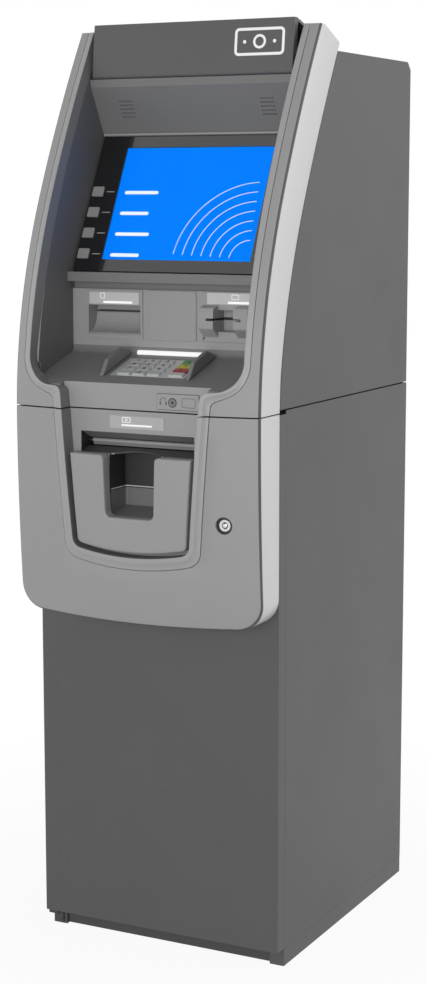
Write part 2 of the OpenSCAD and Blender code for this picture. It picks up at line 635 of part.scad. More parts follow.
jack_r = 1.8;
module jack_plate() color(c_fascia) difference() {
    union() {
        box([jack_box[0][0], apron_y - 1.6, jack_box[0][1]], [jack_box[1][0], apron_y - eps, jack_box[1][1]]);
        pin_y(apron_y - eps, apron_y + 18, jack[0], jack[1], 5);
    }
    pin_y(apron_y - 3, apron_y + 14, jack[0], jack[1], jack_r);
}

// ---- Safe door ----
door_t = 21.9;
door_y0 = -22.4;
door_skin = 5;
module door_holes() {
    pin_z(skid_h - 1, skid_h + 28, door_axis[0], door_axis[1], door_pin_r + pin_clear);
    pin_z(safe_top - 28, safe_top + 1, door_axis[0], door_axis[1], door_pin_r + pin_clear);
    box([-94, door_y0 - 1, 764], [94, 5, 795]);
    pin_y(lock_face - 1, 5, lock[0], lock[1], lock_r + pin_clear);
}
door_x0 = door_axis[0] + 16;
module door_plate() color(c_paint) difference() {
    union() {
        box([door_x0, door_y0, skid_h], [half_w, door_y0 + door_skin, safe_top]);
        pin_y(lock_face, door_y0 + 1, lock[0], lock[1], lock_face_r);
    }
    door_holes();
}
module door_slab() color(c_paint) difference() {
    y1 = door_y0 + door_skin;
    union() {
        difference() {
            box([door_x0 - 2, y1, skid_h], [half_w, door_y0 + door_t, safe_top]);
            box([door_x0, y1 - 1, skid_h + 12], [half_w - 12, 1, safe_top - 30]);
        }
        // hinge stile
        box([door_axis[0], door_y0, skid_h], [door_x0, door_y0 + door_t, safe_top]);
        box([-half_w, door_y0, skid_h], [door_axis[0] + 1, door_axis[1], safe_top]);
        pin_z(skid_h, safe_top, door_axis[0], door_axis[1], -door_y0 - 11.9);
        for (x = [-100, 60]) box([x, y1, skid_h + 11], [x + 3, -4, 560]);
        box([-100, y1, 752], [100, -0.5, safe_top - 29]);
    }
    door_holes();
}

lock = [147.5, 674.5];
lock_r = 9;
lock_face_r = 12.1;
lock_face = face_at(lock[0] + lock_face_r, lock[1], 6) + 1;
module lower_fascia() color(c_fascia) {
    g = loop_path(door_groove);
    o = loop_path(door_outer);
    difference() {
        loft([for (i = [0 : len(g) - 1]) fascia_section(g[i], o[i])], fascia_cap);
        along_y(lock_face - 20, door_y0 + 1) translate([lock[0], lock[1]])
            polygon([for (i = [0 : 47]) (lock_face_r + 0.3) * [cos(i * 7.5), sin(i * 7.5)]]);
    }
}

module door_strip() color(c_strip) {
    g = loop_path(door_groove);
    o = loop_path(door_outer);
    loft([for (i = [0 : len(g) - 1]) strip_section(g[i], o[i], door_y0 - eps)]);
}

module lower_trim() color(c_trim) {
    g = loop_path(door_groove);
    e = loop_path(door_inner);
    loft([for (i = [len(g) - 1 : -1 : 0])
        trim_section(g[i], e[i], face_at(e[i][0], e[i][1], 6) + return_d)], trim_cap);
}

// Panel round the pocket: its front follows the fascia, cut by the notch
module cash_panel() color(c_fascia) {
    left = [for (p = panel_edge) flip(p)];
    inner = [[-notch_top, panel_top], [-notch_top - 0.3, 757], [-41, 730], [-40, 700], [-39, 684],
             [-37.5, 679], [-33, 675.6], [-22, notch_z], [-8, notch_z], [0, notch_z]];
    n = len(panel_edge);
    slot = function (i) let (s = i / (n - 1) * (len(inner) - 1), k = min(floor(s), len(inner) - 2))
        inner[k] + (inner[k + 1] - inner[k]) * (s - k);
    rows = [for (i = [0 : n - 1]) let (a = left[i], b = slot(i)) concat(
        [for (s = [0, 0.25, 0.5, 0.75, 1]) let (p = a + (b - a) * s) [p[0], face_at(p[0], p[1], 6), p[1]]],
        [for (s = [1, 0]) let (p = a + (b - a) * s) [p[0], face_at(p[0], p[1], 6) + panel_t, p[1]]])];
    right = [for (row = rows) [for (p = row) [-p[0], p[1], p[2]]]];
    loft(concat(right, [for (i = [n - 2 : -1 : 0]) rows[i]]));
}

// Lining of the cash slot and of the pocket behind the notch
chute_x = 93;
pocket_x = 43;
pocket_back = -38;
pocket_front = face_at(pocket_x + 3, notch_z, 6) + panel_t + 0.2;
shutter_axis = [-54, 779];
shutter_r = 3.1;
// The sill is cut by an arch over the pocket, 13 mm deep
sill_r = (sq(pocket_x) + sq(13)) / 26;
sill_y = apron_y + 13 - sill_r;
module cash_chute() color(c_inner) difference() {
    union() {
        // back wall inside the trim, open at the slot and the pocket
        difference() {
            outline_prism(door_inner, -0.1, apron_y, apron_y + 3);
            box([-chute_x, apron_y - 1, 764], [chute_x, apron_y + 4, 795]);
            box([-pocket_x, apron_y - 1, 674], [pocket_x, apron_y + 4, 765]);
        }
        // bosses that carry the panel
        for (s = [-1, 1], z = [655, 740])
            box([s * 70 - 5, face_at(75, z - 8, 6) + panel_t + 1, z - 8], [s * 70 + 5, apron_y + eps, z + 8]);
        // slot: roof, sides, sill
        box([-chute_x - 3, apron_y + 3 - eps, 795], [chute_x + 3, -30, 798]);
        mirrored() box([chute_x, apron_y + 3 - eps, 761], [chute_x + 3, -30, 798]);
        mirrored() box([pocket_x + 1, apron_y + 3 - eps, 761], [chute_x + 3, -40, 764]);
        // pocket: sides, back, floor
        mirrored() box([pocket_x, pocket_front + 3, 671], [pocket_x + 3, pocket_back + 3, 764]);
        box([-pocket_x, pocket_back, 671], [pocket_x, pocket_back + 3, 767]);
        along_x(-pocket_x, pocket_x) polygon([[pocket_front, 671], [pocket_front, 674], [pocket_back, 684], [pocket_back, 671]]);
        // slot: the roof slopes down to the shutter bar, and the sill slopes up to it from the front
        along_x(-chute_x - 0.5, chute_x + 0.5)
            polygon([[apron_y + 3, 795 + eps], [apron_y + 3.2, 794.4], [-52, 782.4], [-49, 782.4], [-49, 795 + eps]]);
        difference() {
            along_x(-chute_x - 0.5, chute_x + 0.5)
                polygon([[apron_y + 0.1, 762.6], [apron_y + 0.1, 764], [-56, 771], [-56, 769.3], [apron_y + 4, 762.6]]);
            pin_z(750, 780, 0, sill_y, sill_r);
        }
    }
    for (s = [-1, 1]) pin_x(s > 0 ? chute_x - 1 : -chute_x - 5, s > 0 ? chute_x + 5 : -chute_x + 1,
                            shutter_axis[0], shutter_axis[1], 2.5 + pin_clear);
}

module cash_shutter() color("#7a7a7b") {
    pin_x(-chute_x - 2.6, chute_x + 2.6, shutter_axis[0], shutter_axis[1], 2.5);
    pin_x(-86.5, 86.5, shutter_axis[0], shutter_axis[1], shutter_r);
    along_x(-86.5, 86.5) polygon([
        [shutter_axis[0] - 0.8, shutter_axis[1]], [shutter_axis[0] - 0.8, 772.4],
        [shutter_axis[0] + 0.8, 772.4], [shutter_axis[0] + 0.8, shutter_axis[1]]]);
}

module lock_plug() color(c_steel) difference() {
    union() {
        pin_y(lock_face + 0.5, -15, lock[0], lock[1], lock_r);
        box([lock[0] - 6, -15 - eps, lock[1] - 14], [lock[0] + 6, -12, lock[1] + 14]);
    }
    difference() {
        pin_y(lock_face - 1, lock_face + 5, lock[0], lock[1], 4.5);
        pin_y(lock_face - 2, lock_face + 6, lock[0], lock[1], 3);
    }
}

menu_names = [["menu_key_l1", "menu_key_l2", "menu_key_l3", "menu_key_l4"],
              ["menu_key_r1", "menu_key_r2", "menu_key_r3", "menu_key_r4"]];
c_key = "#d6d7d8";
pad_names = [["key_1", "key_2", "key_3", "key_green"], ["key_4", "key_5", "key_6", "key_yellow"],
             ["key_7", "key_8", "key_9", "key_red"], ["key_left", "key_0", "key_right", "key_spare"]];
pad_tints = ["#3c8a3c", "#b0a634", "#98202e", c_key];

in_place() {
base_frame();
safe_sides();
safe_floor();
safe_roof();
safe_back();
safe_frame();
housing_shell();
rear_cover();
power_inlet();
computer_unit();
dispenser_frame();
cash_cassette();
feed_roller();
pinch_roller();
door_hinge_pins();
head_hinge_brackets();
upper_fascia();
head_strips();
upper_trim();
recess_panel();
topper_sign();
topper_box();
screen_glass();
display_module();
receipt_bezel();
receipt_printer();
paper_roll();
card_bezel();
card_reader();
blank_plate();
keypad_plate();
keypad_shields();
lit_guides();
jack_plate();
for (s = [0, 1], i = [0 : 3])
    menu_key(s == 0 ? -1 : 1, i);
for (r = [0 : 3], c = [0 : 3])
    pad_key(r, c, c == 3 ? pad_tints[r] : c_key);
door_plate();
door_slab();
lower_fascia();
door_strip();
lower_trim();
cash_panel();
cash_chute();
cash_shutter();
lock_plug();
}
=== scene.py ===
# Free-standing cash machine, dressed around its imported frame.
# Shapes are worked out in millimetres from the cabinet's front plane (y = 0), its middle (x = 0) and the
# floor (z = 0), as in the part's source, and become metres of the row frame when they are put in a mesh.
import json
import logging
import math
from dataclasses import dataclass
from enum import Enum
from typing import Callable, Iterable, Sequence

import bmesh
import bpy
import numpy as np
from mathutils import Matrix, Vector

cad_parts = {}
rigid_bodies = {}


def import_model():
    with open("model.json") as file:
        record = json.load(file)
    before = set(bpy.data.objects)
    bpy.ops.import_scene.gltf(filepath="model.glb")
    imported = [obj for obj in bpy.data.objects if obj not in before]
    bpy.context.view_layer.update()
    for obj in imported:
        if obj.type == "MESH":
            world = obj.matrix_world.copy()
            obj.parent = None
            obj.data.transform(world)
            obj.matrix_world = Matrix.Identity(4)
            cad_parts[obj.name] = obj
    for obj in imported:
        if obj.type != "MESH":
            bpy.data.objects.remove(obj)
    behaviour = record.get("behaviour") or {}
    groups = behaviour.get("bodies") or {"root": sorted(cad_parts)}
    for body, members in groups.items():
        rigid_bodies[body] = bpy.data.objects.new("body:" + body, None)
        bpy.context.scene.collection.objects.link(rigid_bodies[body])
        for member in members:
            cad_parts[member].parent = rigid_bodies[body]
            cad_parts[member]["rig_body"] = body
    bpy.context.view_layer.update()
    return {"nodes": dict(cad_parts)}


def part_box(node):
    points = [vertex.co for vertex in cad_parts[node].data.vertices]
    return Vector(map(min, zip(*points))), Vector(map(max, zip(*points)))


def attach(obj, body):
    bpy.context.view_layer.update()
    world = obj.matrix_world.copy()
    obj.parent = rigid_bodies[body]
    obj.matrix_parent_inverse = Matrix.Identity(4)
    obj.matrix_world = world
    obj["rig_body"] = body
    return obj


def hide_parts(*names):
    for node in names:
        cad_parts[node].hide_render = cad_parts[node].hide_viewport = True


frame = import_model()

LOG = logging.getLogger("cash_machine")
FRONT_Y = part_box("safe_sides")[0].y * 1000.0  # row y of the cabinet's front plane, in millimetres
Pair, Triple, Four = tuple[float, float], tuple[float, float, float], tuple[float, float, float, float]
Array, Piece, Socket = np.ndarray, bpy.types.Object, bpy.types.NodeSocket
Feeds = dict[str | int, object]
ORIGIN, UP, RIGHT, BACK = (0.0, 0.0, 0.0), (0.0, 0.0, 1.0), (1.0, 0.0, 0.0), (0.0, 1.0, 0.0)
FLIP = np.array([-1.0, 1.0, 1.0])

# How a finish's noises are used: the fine noise's share in the cloud, the stretch of the cloud that its
# colours and its gloss are spread over, the size of the flecks beside the grain, with their stretch, and
# the strength of the relief.
FINE_SHARE = 0.35
CLOUD = (0.3, 0.7)
FLECK_SIZE = 2.3
FLECKS = (0.62, 0.72)
RELIEF = 0.8
# How a node's own mesh is cleaned: points nearer than this, in metres, are one, faces that turn by less
# than this many degrees are joined, and edges that turn by more than this are rounded.
SAME_POINT, FLAT_ANGLE, EASE_ANGLE = 2e-6, 0.7, 24.0


# ---------------------------------------------------------------- finishes
def linear(level: float) -> float:
    """Linear light of a screen level between 0 and 255."""
    share = level / 255.0
    return share / 12.92 if share <= 0.04045 else ((share + 0.055) / 1.055) ** 2.4


@dataclass(frozen=True)
class Nodes:
    """A node tree, with short ways to add nodes and to feed their inputs."""

    tree: bpy.types.NodeTree

    def feed(self, node: bpy.types.Node, inputs: Feeds) -> None:
        """Sets a node's inputs, each to a value or to the socket that drives it."""
        for key, value in inputs.items():
            if isinstance(value, Socket):
                self.tree.links.new(value, node.inputs[key])
            else:
                node.inputs[key].default_value = value

    def add(self, kind: str, inputs: Feeds, out: str | int = 0, **settings: str) -> Socket | None:
        """Adds a shader node.

        Args:
            kind: The node's type, without the words that all types share.
            inputs: What its inputs hold or are driven by.
            out: The output that is wanted.
            settings: The node's own settings.

        Returns:
            The wanted output, or None for a node without outputs.
        """
        node = self.tree.nodes.new("ShaderNode" + kind)
        for key, value in settings.items():
            setattr(node, key, value)
        self.feed(node, inputs)
        return node.outputs[out] if len(node.outputs) else None

    def noise(self, at: Socket, size: float, detail: float) -> Socket:
        """A noise on the given coordinates, with grains of a size in millimetres."""
        return self.add("TexNoise", {"Vector": at, "Scale": 1000.0 / size, "Detail": detail})

    def span(self, value: Socket, a: float, b: float, low: float = 0.0, high: float = 1.0) -> Socket:
        """The value stretched from a..b to low..high, and held at the ends."""
        return self.add("MapRange", {"Value": value, "From Min": a, "From Max": b, "To Min": low,
                                     "To Max": high})

    def tint(self, share: Socket, first: Socket | list[float], second: list[float]) -> Socket:
        """A blend of two colours."""
        return self.add("Mix", {0: share, 6: first, 7: second}, 2, data_type="RGBA")

    def blend(self, share: Socket, first: Socket, second: Socket) -> Socket:
        """A blend of two shaders."""
        return self.add("MixShader", {0: share, 1: first, 2: second})

    def seen(self) -> Socket:
        """1 for what the camera, a mirror or clear glass sees, 0 for what lights the scene."""
        rays = self.tree.nodes.new("ShaderNodeLightPath").outputs
        total = rays["Is Camera Ray"]
        for kind in ("Is Glossy Ray", "Is Transmission Ray"):
            total = self.add("Math", {0: total, 1: rays[kind]}, operation="MAXIMUM")
        return total


@dataclass(frozen=True)
class Finish:
    """A finish: its colour as screen levels, its gloss, and the relief that the real surface has."""

    level: float | Triple
    rough: float = 0.45
    rough_play: float = 0.06
    grain: float = 0.0
    grain_size: float = 0.9
    drift: float = 0.04
    drift_size: float = 140.0
    metal: float = 0.0
    coat: float = 0.0
    coat_rough: float = 0.05
    specular: float = 0.5
    ior: float = 1.5
    glow: float = 0.0
    clear: float = 0.0
    stretch: Triple = (1.0, 1.0, 1.0)
    speck: float = 0.0

    def build(self, name: str) -> bpy.types.Material:
        """Makes the node material.

        Args:
            name: The material's name.

        Returns:
            A material whose colour drifts with a wide and a fine noise, and whose relief is the fine noise.
        """
        mat = bpy.data.materials.new(name)
        mat.use_nodes = True
        nodes = Nodes(mat.node_tree)
        place = nodes.add("TexCoord", {}, "Object")
        wide = nodes.noise(place, self.drift_size, 3.0)
        along = nodes.add("Mapping", {"Vector": place, "Scale": self.stretch})
        fine = nodes.noise(along, self.grain_size, 2.0)
        part = nodes.add("Math", {0: fine, 1: FINE_SHARE}, operation="MULTIPLY")
        cloud = nodes.add("Math", {0: wide, 1: 1.0 - FINE_SHARE, 2: part}, operation="MULTIPLY_ADD")
        colour = [linear(v) for v in np.broadcast_to(self.level, 3)]
        ends = [[min(1.0, c * share) for c in colour] + [1.0]
                for share in (1.0 - self.drift, 1.0 + self.drift)]
        tint = nodes.tint(nodes.span(cloud, *CLOUD), *ends)
        if self.speck:
            fleck = nodes.span(nodes.noise(place, self.grain_size * FLECK_SIZE, 1.0), *FLECKS)
            tint = nodes.tint(fleck, tint, [c * (1.0 - self.speck) for c in colour] + [1.0])
        rough = nodes.span(cloud, *CLOUD, self.rough - self.rough_play, self.rough + self.rough_play)
        inputs = {"Base Color": tint, "Roughness": rough, "Metallic": self.metal, "IOR": self.ior,
                  "Specular IOR Level": self.specular, "Coat Weight": self.coat,
                  "Coat Roughness": self.coat_rough, "Transmission Weight": self.clear}
        if self.grain:
            relief = {"Strength": RELIEF, "Distance": self.grain / 1000.0, "Height": fine}
            inputs["Normal"] = nodes.add("Bump", relief)
        if self.glow:
            inputs |= {"Emission Strength": self.glow, "Emission Color": colour + [1.0],
                       "Base Color": [c * (1.0 - self.glow) for c in colour] + [1.0]}
        nodes.feed(mat.node_tree.nodes["Principled BSDF"], inputs)
        return mat


class Look(Enum):
    """The finishes of the machine, each with the record's material slot."""

    FASCIA = ("fascia", Finish(158, 0.48, grain=0.035, grain_size=0.8))
    STRIP = ("strip", Finish(228, 0.42, grain=0.012, grain_size=0.5, drift=0.02))
    TRIM = ("trim", Finish(166, 0.4, grain=0.015, grain_size=0.7, drift=0.03))
    PAINT = ("paint", Finish((82, 82, 83), 0.46, grain=0.05, grain_size=2.2, drift=0.05, speck=0.08))
    SIGN = ("paint", Finish((87, 87, 88), 0.46, grain=0.04, grain_size=2.2, drift=0.04))
    PAINT_DARK = ("paint_dark", Finish((62, 62, 63), 0.5, grain=0.05, grain_size=2.2, speck=0.08))
    LINING = ("inner", Finish(118, 0.5, grain=0.03, grain_size=0.9))
    # A darker lining: the cash cassette's own tone, and painted shade on the recess's side walls.
    LINING_DARK_AND_WALL_SHADE = ("inner", Finish((104, 104, 105), 0.5, grain=0.03, grain_size=0.9))
    # A deeper lining tone: painted shade on the cash slot's sill, and the print of the apron's drawn edge and
    # signs.
    LINING_SHADE_AND_PRINT = ("inner", Finish((70, 70, 71), 0.5, grain=0.03, grain_size=0.9))
    # Near black: painted shade inside the cash slot and the pocket, and on the wall of the lock's hole.
    DEEP_SHADE = ("inner", Finish((40, 40, 41), 0.55, grain=0.02))
    GLASS = ("glass", Finish((16, 17, 19), 0.12, 0.02, coat=1.0, coat_rough=0.03))
    CLEAR = ("glass", Finish(255, 0.02, 0.01, drift=0.0, ior=1.08, clear=1.0))
    DISPLAY = ("display", Finish((0, 125, 255), 0.5, glow=0.6, specular=0.0))
    INK = ("display", Finish((232, 244, 255), 0.5, glow=0.9, specular=0.0))
    MARK = ("key", Finish(150, 0.5))
    KEY = ("key", Finish((205, 206, 207), 0.32, grain=0.006, grain_size=0.5, metal=0.35,
                         stretch=(0.12, 1.0, 1.0)))
    KEY_GREY = ("key", Finish((146, 146, 147), 0.4, grain=0.01, grain_size=0.6, coat=0.2))
    GREEN = ("key_green", Finish((62, 142, 60), 0.35, grain=0.01, coat=0.4))
    YELLOW = ("key_yellow", Finish((190, 182, 46), 0.35, grain=0.01, coat=0.4))
    RED = ("key_red", Finish((160, 20, 38), 0.35, grain=0.01, coat=0.4))
    FIGURE = ("black", Finish((38, 38, 40), 0.5))
    BLACK = ("black", Finish((24, 24, 25), 0.5, grain=0.02))
    STEEL = ("steel", Finish((176, 178, 181), 0.38, grain=0.01, grain_size=1.4, metal=0.85, drift=0.08,
                             drift_size=30.0, stretch=(1.0, 1.0, 0.15)))
    BRIGHT = ("pin_steel", Finish((214, 214, 216), 0.2, 0.04, grain=0.004, metal=1.0))
    RUBBER = ("rubber", Finish((36, 36, 37), 0.75, grain=0.05, grain_size=1.2))
    PAPER = ("paper", Finish((236, 236, 232), 0.8, grain=0.02, grain_size=0.6))
    PLATE = ("lit", Finish(204, 0.35, drift=0.02, coat=0.3))
    PLATE_DIM = ("lit", Finish(182, 0.35, drift=0.02, coat=0.3))
    LIT = ("lit", Finish(250, 0.4, glow=0.9))
    WHITE = ("lit", Finish(240, 0.45, glow=0.7))

    @property
    def slot(self) -> str:
        """The record's material slot."""
        return self.value[0]

    def material(self) -> bpy.types.Material:
        """The finish's material, made at its first use."""
        name = "finish_" + self.name.lower()
        return bpy.data.materials.get(name) or self.value[1].build(name)


# ---------------------------------------------------------------- meshes
@dataclass
class Solid:
    """A closed shell: points in millimetres, faces as point numbers, and its look or its faces' looks."""

    points: Array
    faces: list[list[int]]
    look: int | Array = 0


@dataclass(frozen=True)
class Plane:
    """A place for flat work: an origin and the directions of its width, its height and its face."""

    origin: Triple
    u: Triple
    v: Triple
    n: Triple

    def place(self, local: Array) -> Array:
        """Local (u, v, n) points as cabinet points: origin + u, v and n parts."""
        axes = np.array([self.u, self.v, self.n], float)
        return np.asarray(local, float) @ axes + np.array(self.origin, float)


def leaning(y: float, z: float, rise: float) -> Plane:
    """A plane across the machine at (y, z) whose height direction rises at the given angle from +Y."""
    c, s = math.cos(math.radians(rise)), math.sin(math.radians(rise))
    return Plane((0.0, y, z), RIGHT, (0.0, c, s), (0.0, -s, c))


def facing(x: float, y: float, z: float) -> Plane:
    """An upright plane that faces the user."""
    return Plane((x, y, z), RIGHT, UP, (0.0, -1.0, 0.0))


ACROSS = Plane(ORIGIN, BACK, UP, RIGHT)
PLAN = Plane(ORIGIN, RIGHT, BACK, UP)


def ring_loft(rings: Array, closed: bool = False, look: int = 0) -> Solid:
    """A shell through a row of closed sections with the same number of points.

    Args:
        rings: Array (sections, points, 3).
        closed: Whether the last section joins the first one. Otherwise both ends get a face.
        look: The shell's look number.

    Returns:
        The shell. Point j of section i joins point j of section i + 1.
    """
    n, m, _ = rings.shape
    i = np.arange(n if closed else n - 1)[:, None]
    j = np.arange(m)[None, :]
    a, b = i * m + j, i * m + (j + 1) % m
    c, d = ((i + 1) % n) * m + j, ((i + 1) % n) * m + (j + 1) % m
    faces = np.stack(np.broadcast_arrays(a, c, d, b), -1).reshape(-1, 4).tolist()
    if not closed:
        faces += [list(range(m)), list(range(n * m - 1, (n - 1) * m - 1, -1))]
    return Solid(rings.reshape(-1, 3), faces, look)


def prism(plane: Plane, outline: Sequence[Pair], low: float, high: float, look: int = 0) -> Solid:
    """A flat outline on a plane, drawn out from the height low to the height high."""
    flat = np.asarray(outline, float)
    rings = np.stack([np.column_stack([flat, np.full(len(flat), h)]) for h in (low, high)])
    return ring_loft(plane.place(rings), look=look)


def block(low: Triple, high: Triple, look: int = 0) -> Solid:
    """A block between two corners."""
    (x0, y0, z0), (x1, y1, z1) = low, high
    return prism(ACROSS, [(y0, z0), (y1, z0), (y1, z1), (y0, z1)], x0, x1, look)


def rounded(w: float, h: float, r: float, n: int = 6, at: Pair = (0.0, 0.0)) -> Array:
    """Outline of a rectangle w by h with corners of radius r, round its middle."""
    t = np.linspace(0.0, math.pi / 2, n + 1)
    arcs = [np.column_stack([sx * (w / 2 - r) + r * np.cos(t + turn), sy * (h / 2 - r) + r * np.sin(t + turn)])
            for sx, sy, turn in ((1, 1, 0.0), (-1, 1, math.pi / 2), (-1, -1, math.pi), (1, -1, 1.5 * math.pi))]
    return np.vstack(arcs) + np.array(at)


def plate(plane: Plane, size: Triple, low: float, high: float, look: int = 0, at: Pair = (0.0, 0.0),
          n: int = 6) -> Solid:
    """A flat plate on a plane, its size given as width, height and corner radius."""
    return prism(plane, rounded(*size, n, at), low, high, look)


def circle(r: float, n: int = 32, at: Pair = (0.0, 0.0)) -> Array:
    """Outline of a circle."""
    t = np.linspace(0.0, 2 * math.pi, n, endpoint=False)
    return np.column_stack([r * np.cos(t), r * np.sin(t)]) + np.array(at)


def stroke(plane: Plane, path: Sequence[Pair], width: float, low: float, high: float, closed: bool = False,
           look: int = 0) -> Solid:
    """A flat line along a path, as a ribbon with a rectangular section.

    Each section stands across the path's own direction, half the width to either side.

    Args:
        plane: The plane that it lies on.
        path: Its middle line.
        width: Its width.
        low: Height of its underside over the plane.
        high: Height of its top.
        closed: Whether the path ends where it starts.
        look: Its look number.

    Returns:
        The shell.
    """
    p = np.asarray(path, float)
    ahead = np.roll(p, -1, 0) - np.roll(p, 1, 0) if closed else np.gradient(p, axis=0)
    side = np.column_stack([-ahead[:, 1], ahead[:, 0]])
    side *= (width / 2) / np.linalg.norm(side, axis=1, keepdims=True)
    rings = np.stack([np.column_stack([q, np.full(len(p), h)]) for q, h in
                      ((p - side, low), (p + side, low), (p + side, high), (p - side, high))], axis=1)
    return ring_loft(plane.place(rings), closed, look)


def outlined(plane: Plane, size: Triple, width: float, low: float, high: float, look: int = 0,
             at: Pair = (0.0, 0.0)) -> Solid:
    """The drawn outline of a plate on a plane."""
    return stroke(plane, rounded(*size, at=at), width, low, high, True, look)


def turned(plane: Plane, profile: Sequence[Pair], at: Pair = (0.0, 0.0), n: int = 40, look: int = 0) -> Solid:
    """A profile turned about an axis along the plane's face direction.

    Args:
        plane: The plane that the axis stands on.
        profile: (radius, height) points from the low end to the high end, each end closed flat.
        at: The axis's place on the plane.
        n: Points round the axis.
        look: The shell's look number.

    Returns:
        The shell: (at + r cos t, at + r sin t, h) over the angle t.
    """
    r, h = np.asarray(profile, float).T
    t = np.linspace(0.0, 2 * math.pi, n, endpoint=False)
    rings = np.stack([at[0] + r[:, None] * np.cos(t), at[1] + r[:, None] * np.sin(t),
                      np.broadcast_to(h[:, None], (len(r), n))], axis=-1)
    return ring_loft(plane.place(rings), look=look)


def figure(plane: Plane, text: str, size: float, at: Pair, low: float, high: float, look: int = 0) -> Solid:
    """A number or sign as a raised shape on a plane.

    Args:
        plane: The plane that it stands on.
        text: The number or sign.
        size: Height of the letters.
        at: The point that it is centred on.
        low: Height of its underside over the plane.
        high: Height of its top.
        look: Its look number.

    Returns:
        The shell, with the points that letters share merged.
    """
    curve = bpy.data.curves.new("figure", "FONT")
    curve.body, curve.size = text, size
    curve.align_x, curve.align_y = "CENTER", "CENTER"
    curve.extrude = 0.5
    curve.resolution_u = 3
    curve.offset = 0.02 * size
    holder = in_scene("figure", curve)
    mesh = evaluated(holder)
    bpy.data.objects.remove(holder)
    flat = np.zeros(len(mesh.vertices) * 3)
    mesh.vertices.foreach_get("co", flat)
    local = flat.reshape(-1, 3)
    local = np.column_stack([local[:, :2] + np.array(at), np.where(local[:, 2] > 0, high, low)])
    _, first, back = np.unique(np.round(local, 4), axis=0, return_index=True, return_inverse=True)
    back = back.ravel()
    faces = [list(dict.fromkeys(int(back[v]) for v in p.vertices)) for p in mesh.polygons]
    bpy.data.meshes.remove(mesh)
    return Solid(plane.place(local[first]), [f for f in faces if len(f) > 2], look)


def to_row(points: Array) -> Array:
    """Cabinet millimetres as row metres."""
    return (points + np.array([0.0, FRONT_Y, 0.0])) / 1000.0


def in_scene(name: str, data: bpy.types.ID) -> Piece:
    """Puts data into the scene as an object at the origin."""
    obj = bpy.data.objects.new(name, data)
    bpy.context.scene.collection.objects.link(obj)
    return obj


def evaluated(obj: Piece) -> bpy.types.Mesh:
    """An object's mesh as its modifiers leave it."""
    bpy.context.view_layer.update()
    return bpy.data.meshes.new_from_object(obj.evaluated_get(bpy.context.evaluated_depsgraph_get()))


def shade(mesh: bpy.types.Mesh, sharp: float) -> None:
    """Smooth shading, with edges above the given angle kept sharp."""
    mesh.shade_smooth()
    mesh.set_sharp_from_angle(angle=math.radians(sharp))


def finish_piece(obj: Piece, looks: Sequence[Look], body: str, stands_for: Iterable[str]) -> None:
    """Gives a piece what the frame needs to know of it.

    Args:
        obj: The piece.
        looks: Its finishes, added to its material slots in order.
        body: The body that it rides on.
        stands_for: The nodes that it replaces.
    """
    for look in looks:
        obj.data.materials.append(look.material())
    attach(obj, body)
    nodes = list(stands_for)
    if nodes:
        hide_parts(*nodes)


def round_edges(obj: Piece, width: float, angle: float, steps: int = 2,
                weighted: bool = False) -> None:
    """Rounds a piece's edges with a Bevel modifier.

    Args:
        obj: The piece.
        width: Radius of the rounding.
        angle: Edges that turn by more than this are rounded.
        steps: Segments of the rounding.
        weighted: Whether the weights on the edges choose them instead of the angle.
    """
    bevel = obj.modifiers.new("rounded edges", "BEVEL")
    bevel.width = width / 1000.0
    bevel.segments = steps
    bevel.limit_method = "WEIGHT" if weighted else "ANGLE"
    bevel.angle_limit = math.radians(angle)
    bevel.use_clamp_overlap = True
    bevel.harden_normals = not weighted


def build(name: str, solids: Sequence[Solid], looks: Sequence[Look], body: str, stands_for: Iterable[str] = (),
          soften: float = 0.0, angle: float = 40.0, steps: int = 2, sharp: float = 38.0) -> Piece:
    """Puts shells into one piece.

    Args:
        name: The piece's name.
        solids: Its shells, in cabinet millimetres.
        looks: Its finishes; each shell names one by number.
        body: The body that it rides on.
        stands_for: The nodes that it replaces.
        soften: Radius of its rounded edges, or 0.
        angle: Edges above this angle are rounded.
        steps: Segments of the rounding.
        sharp: Edges above this angle are shaded sharp.

    Returns:
        The object, at the origin, its place in its mesh.
    """
    starts = np.cumsum([0] + [len(s.points) for s in solids])
    mesh = bpy.data.meshes.new(name)
    faces = [[v + int(start) for v in f] for s, start in zip(solids, starts) for f in s.faces]
    mesh.from_pydata(to_row(np.vstack([s.points for s in solids])), [], faces)
    numbers = np.concatenate([np.full(len(s.faces), s.look) for s in solids])
    mesh.polygons.foreach_set("material_index", numbers)
    work = bmesh.new()
    work.from_mesh(mesh)
    bmesh.ops.recalc_face_normals(work, faces=work.faces)
    work.to_mesh(mesh)
    work.free()
    shade(mesh, sharp)
    obj = in_scene(name, mesh)
    finish_piece(obj, looks, body, stands_for)
    if soften:
        round_edges(obj, soften, angle, steps)
    LOG.info("%s: %d faces on %s", name, len(mesh.polygons), body)
    return obj


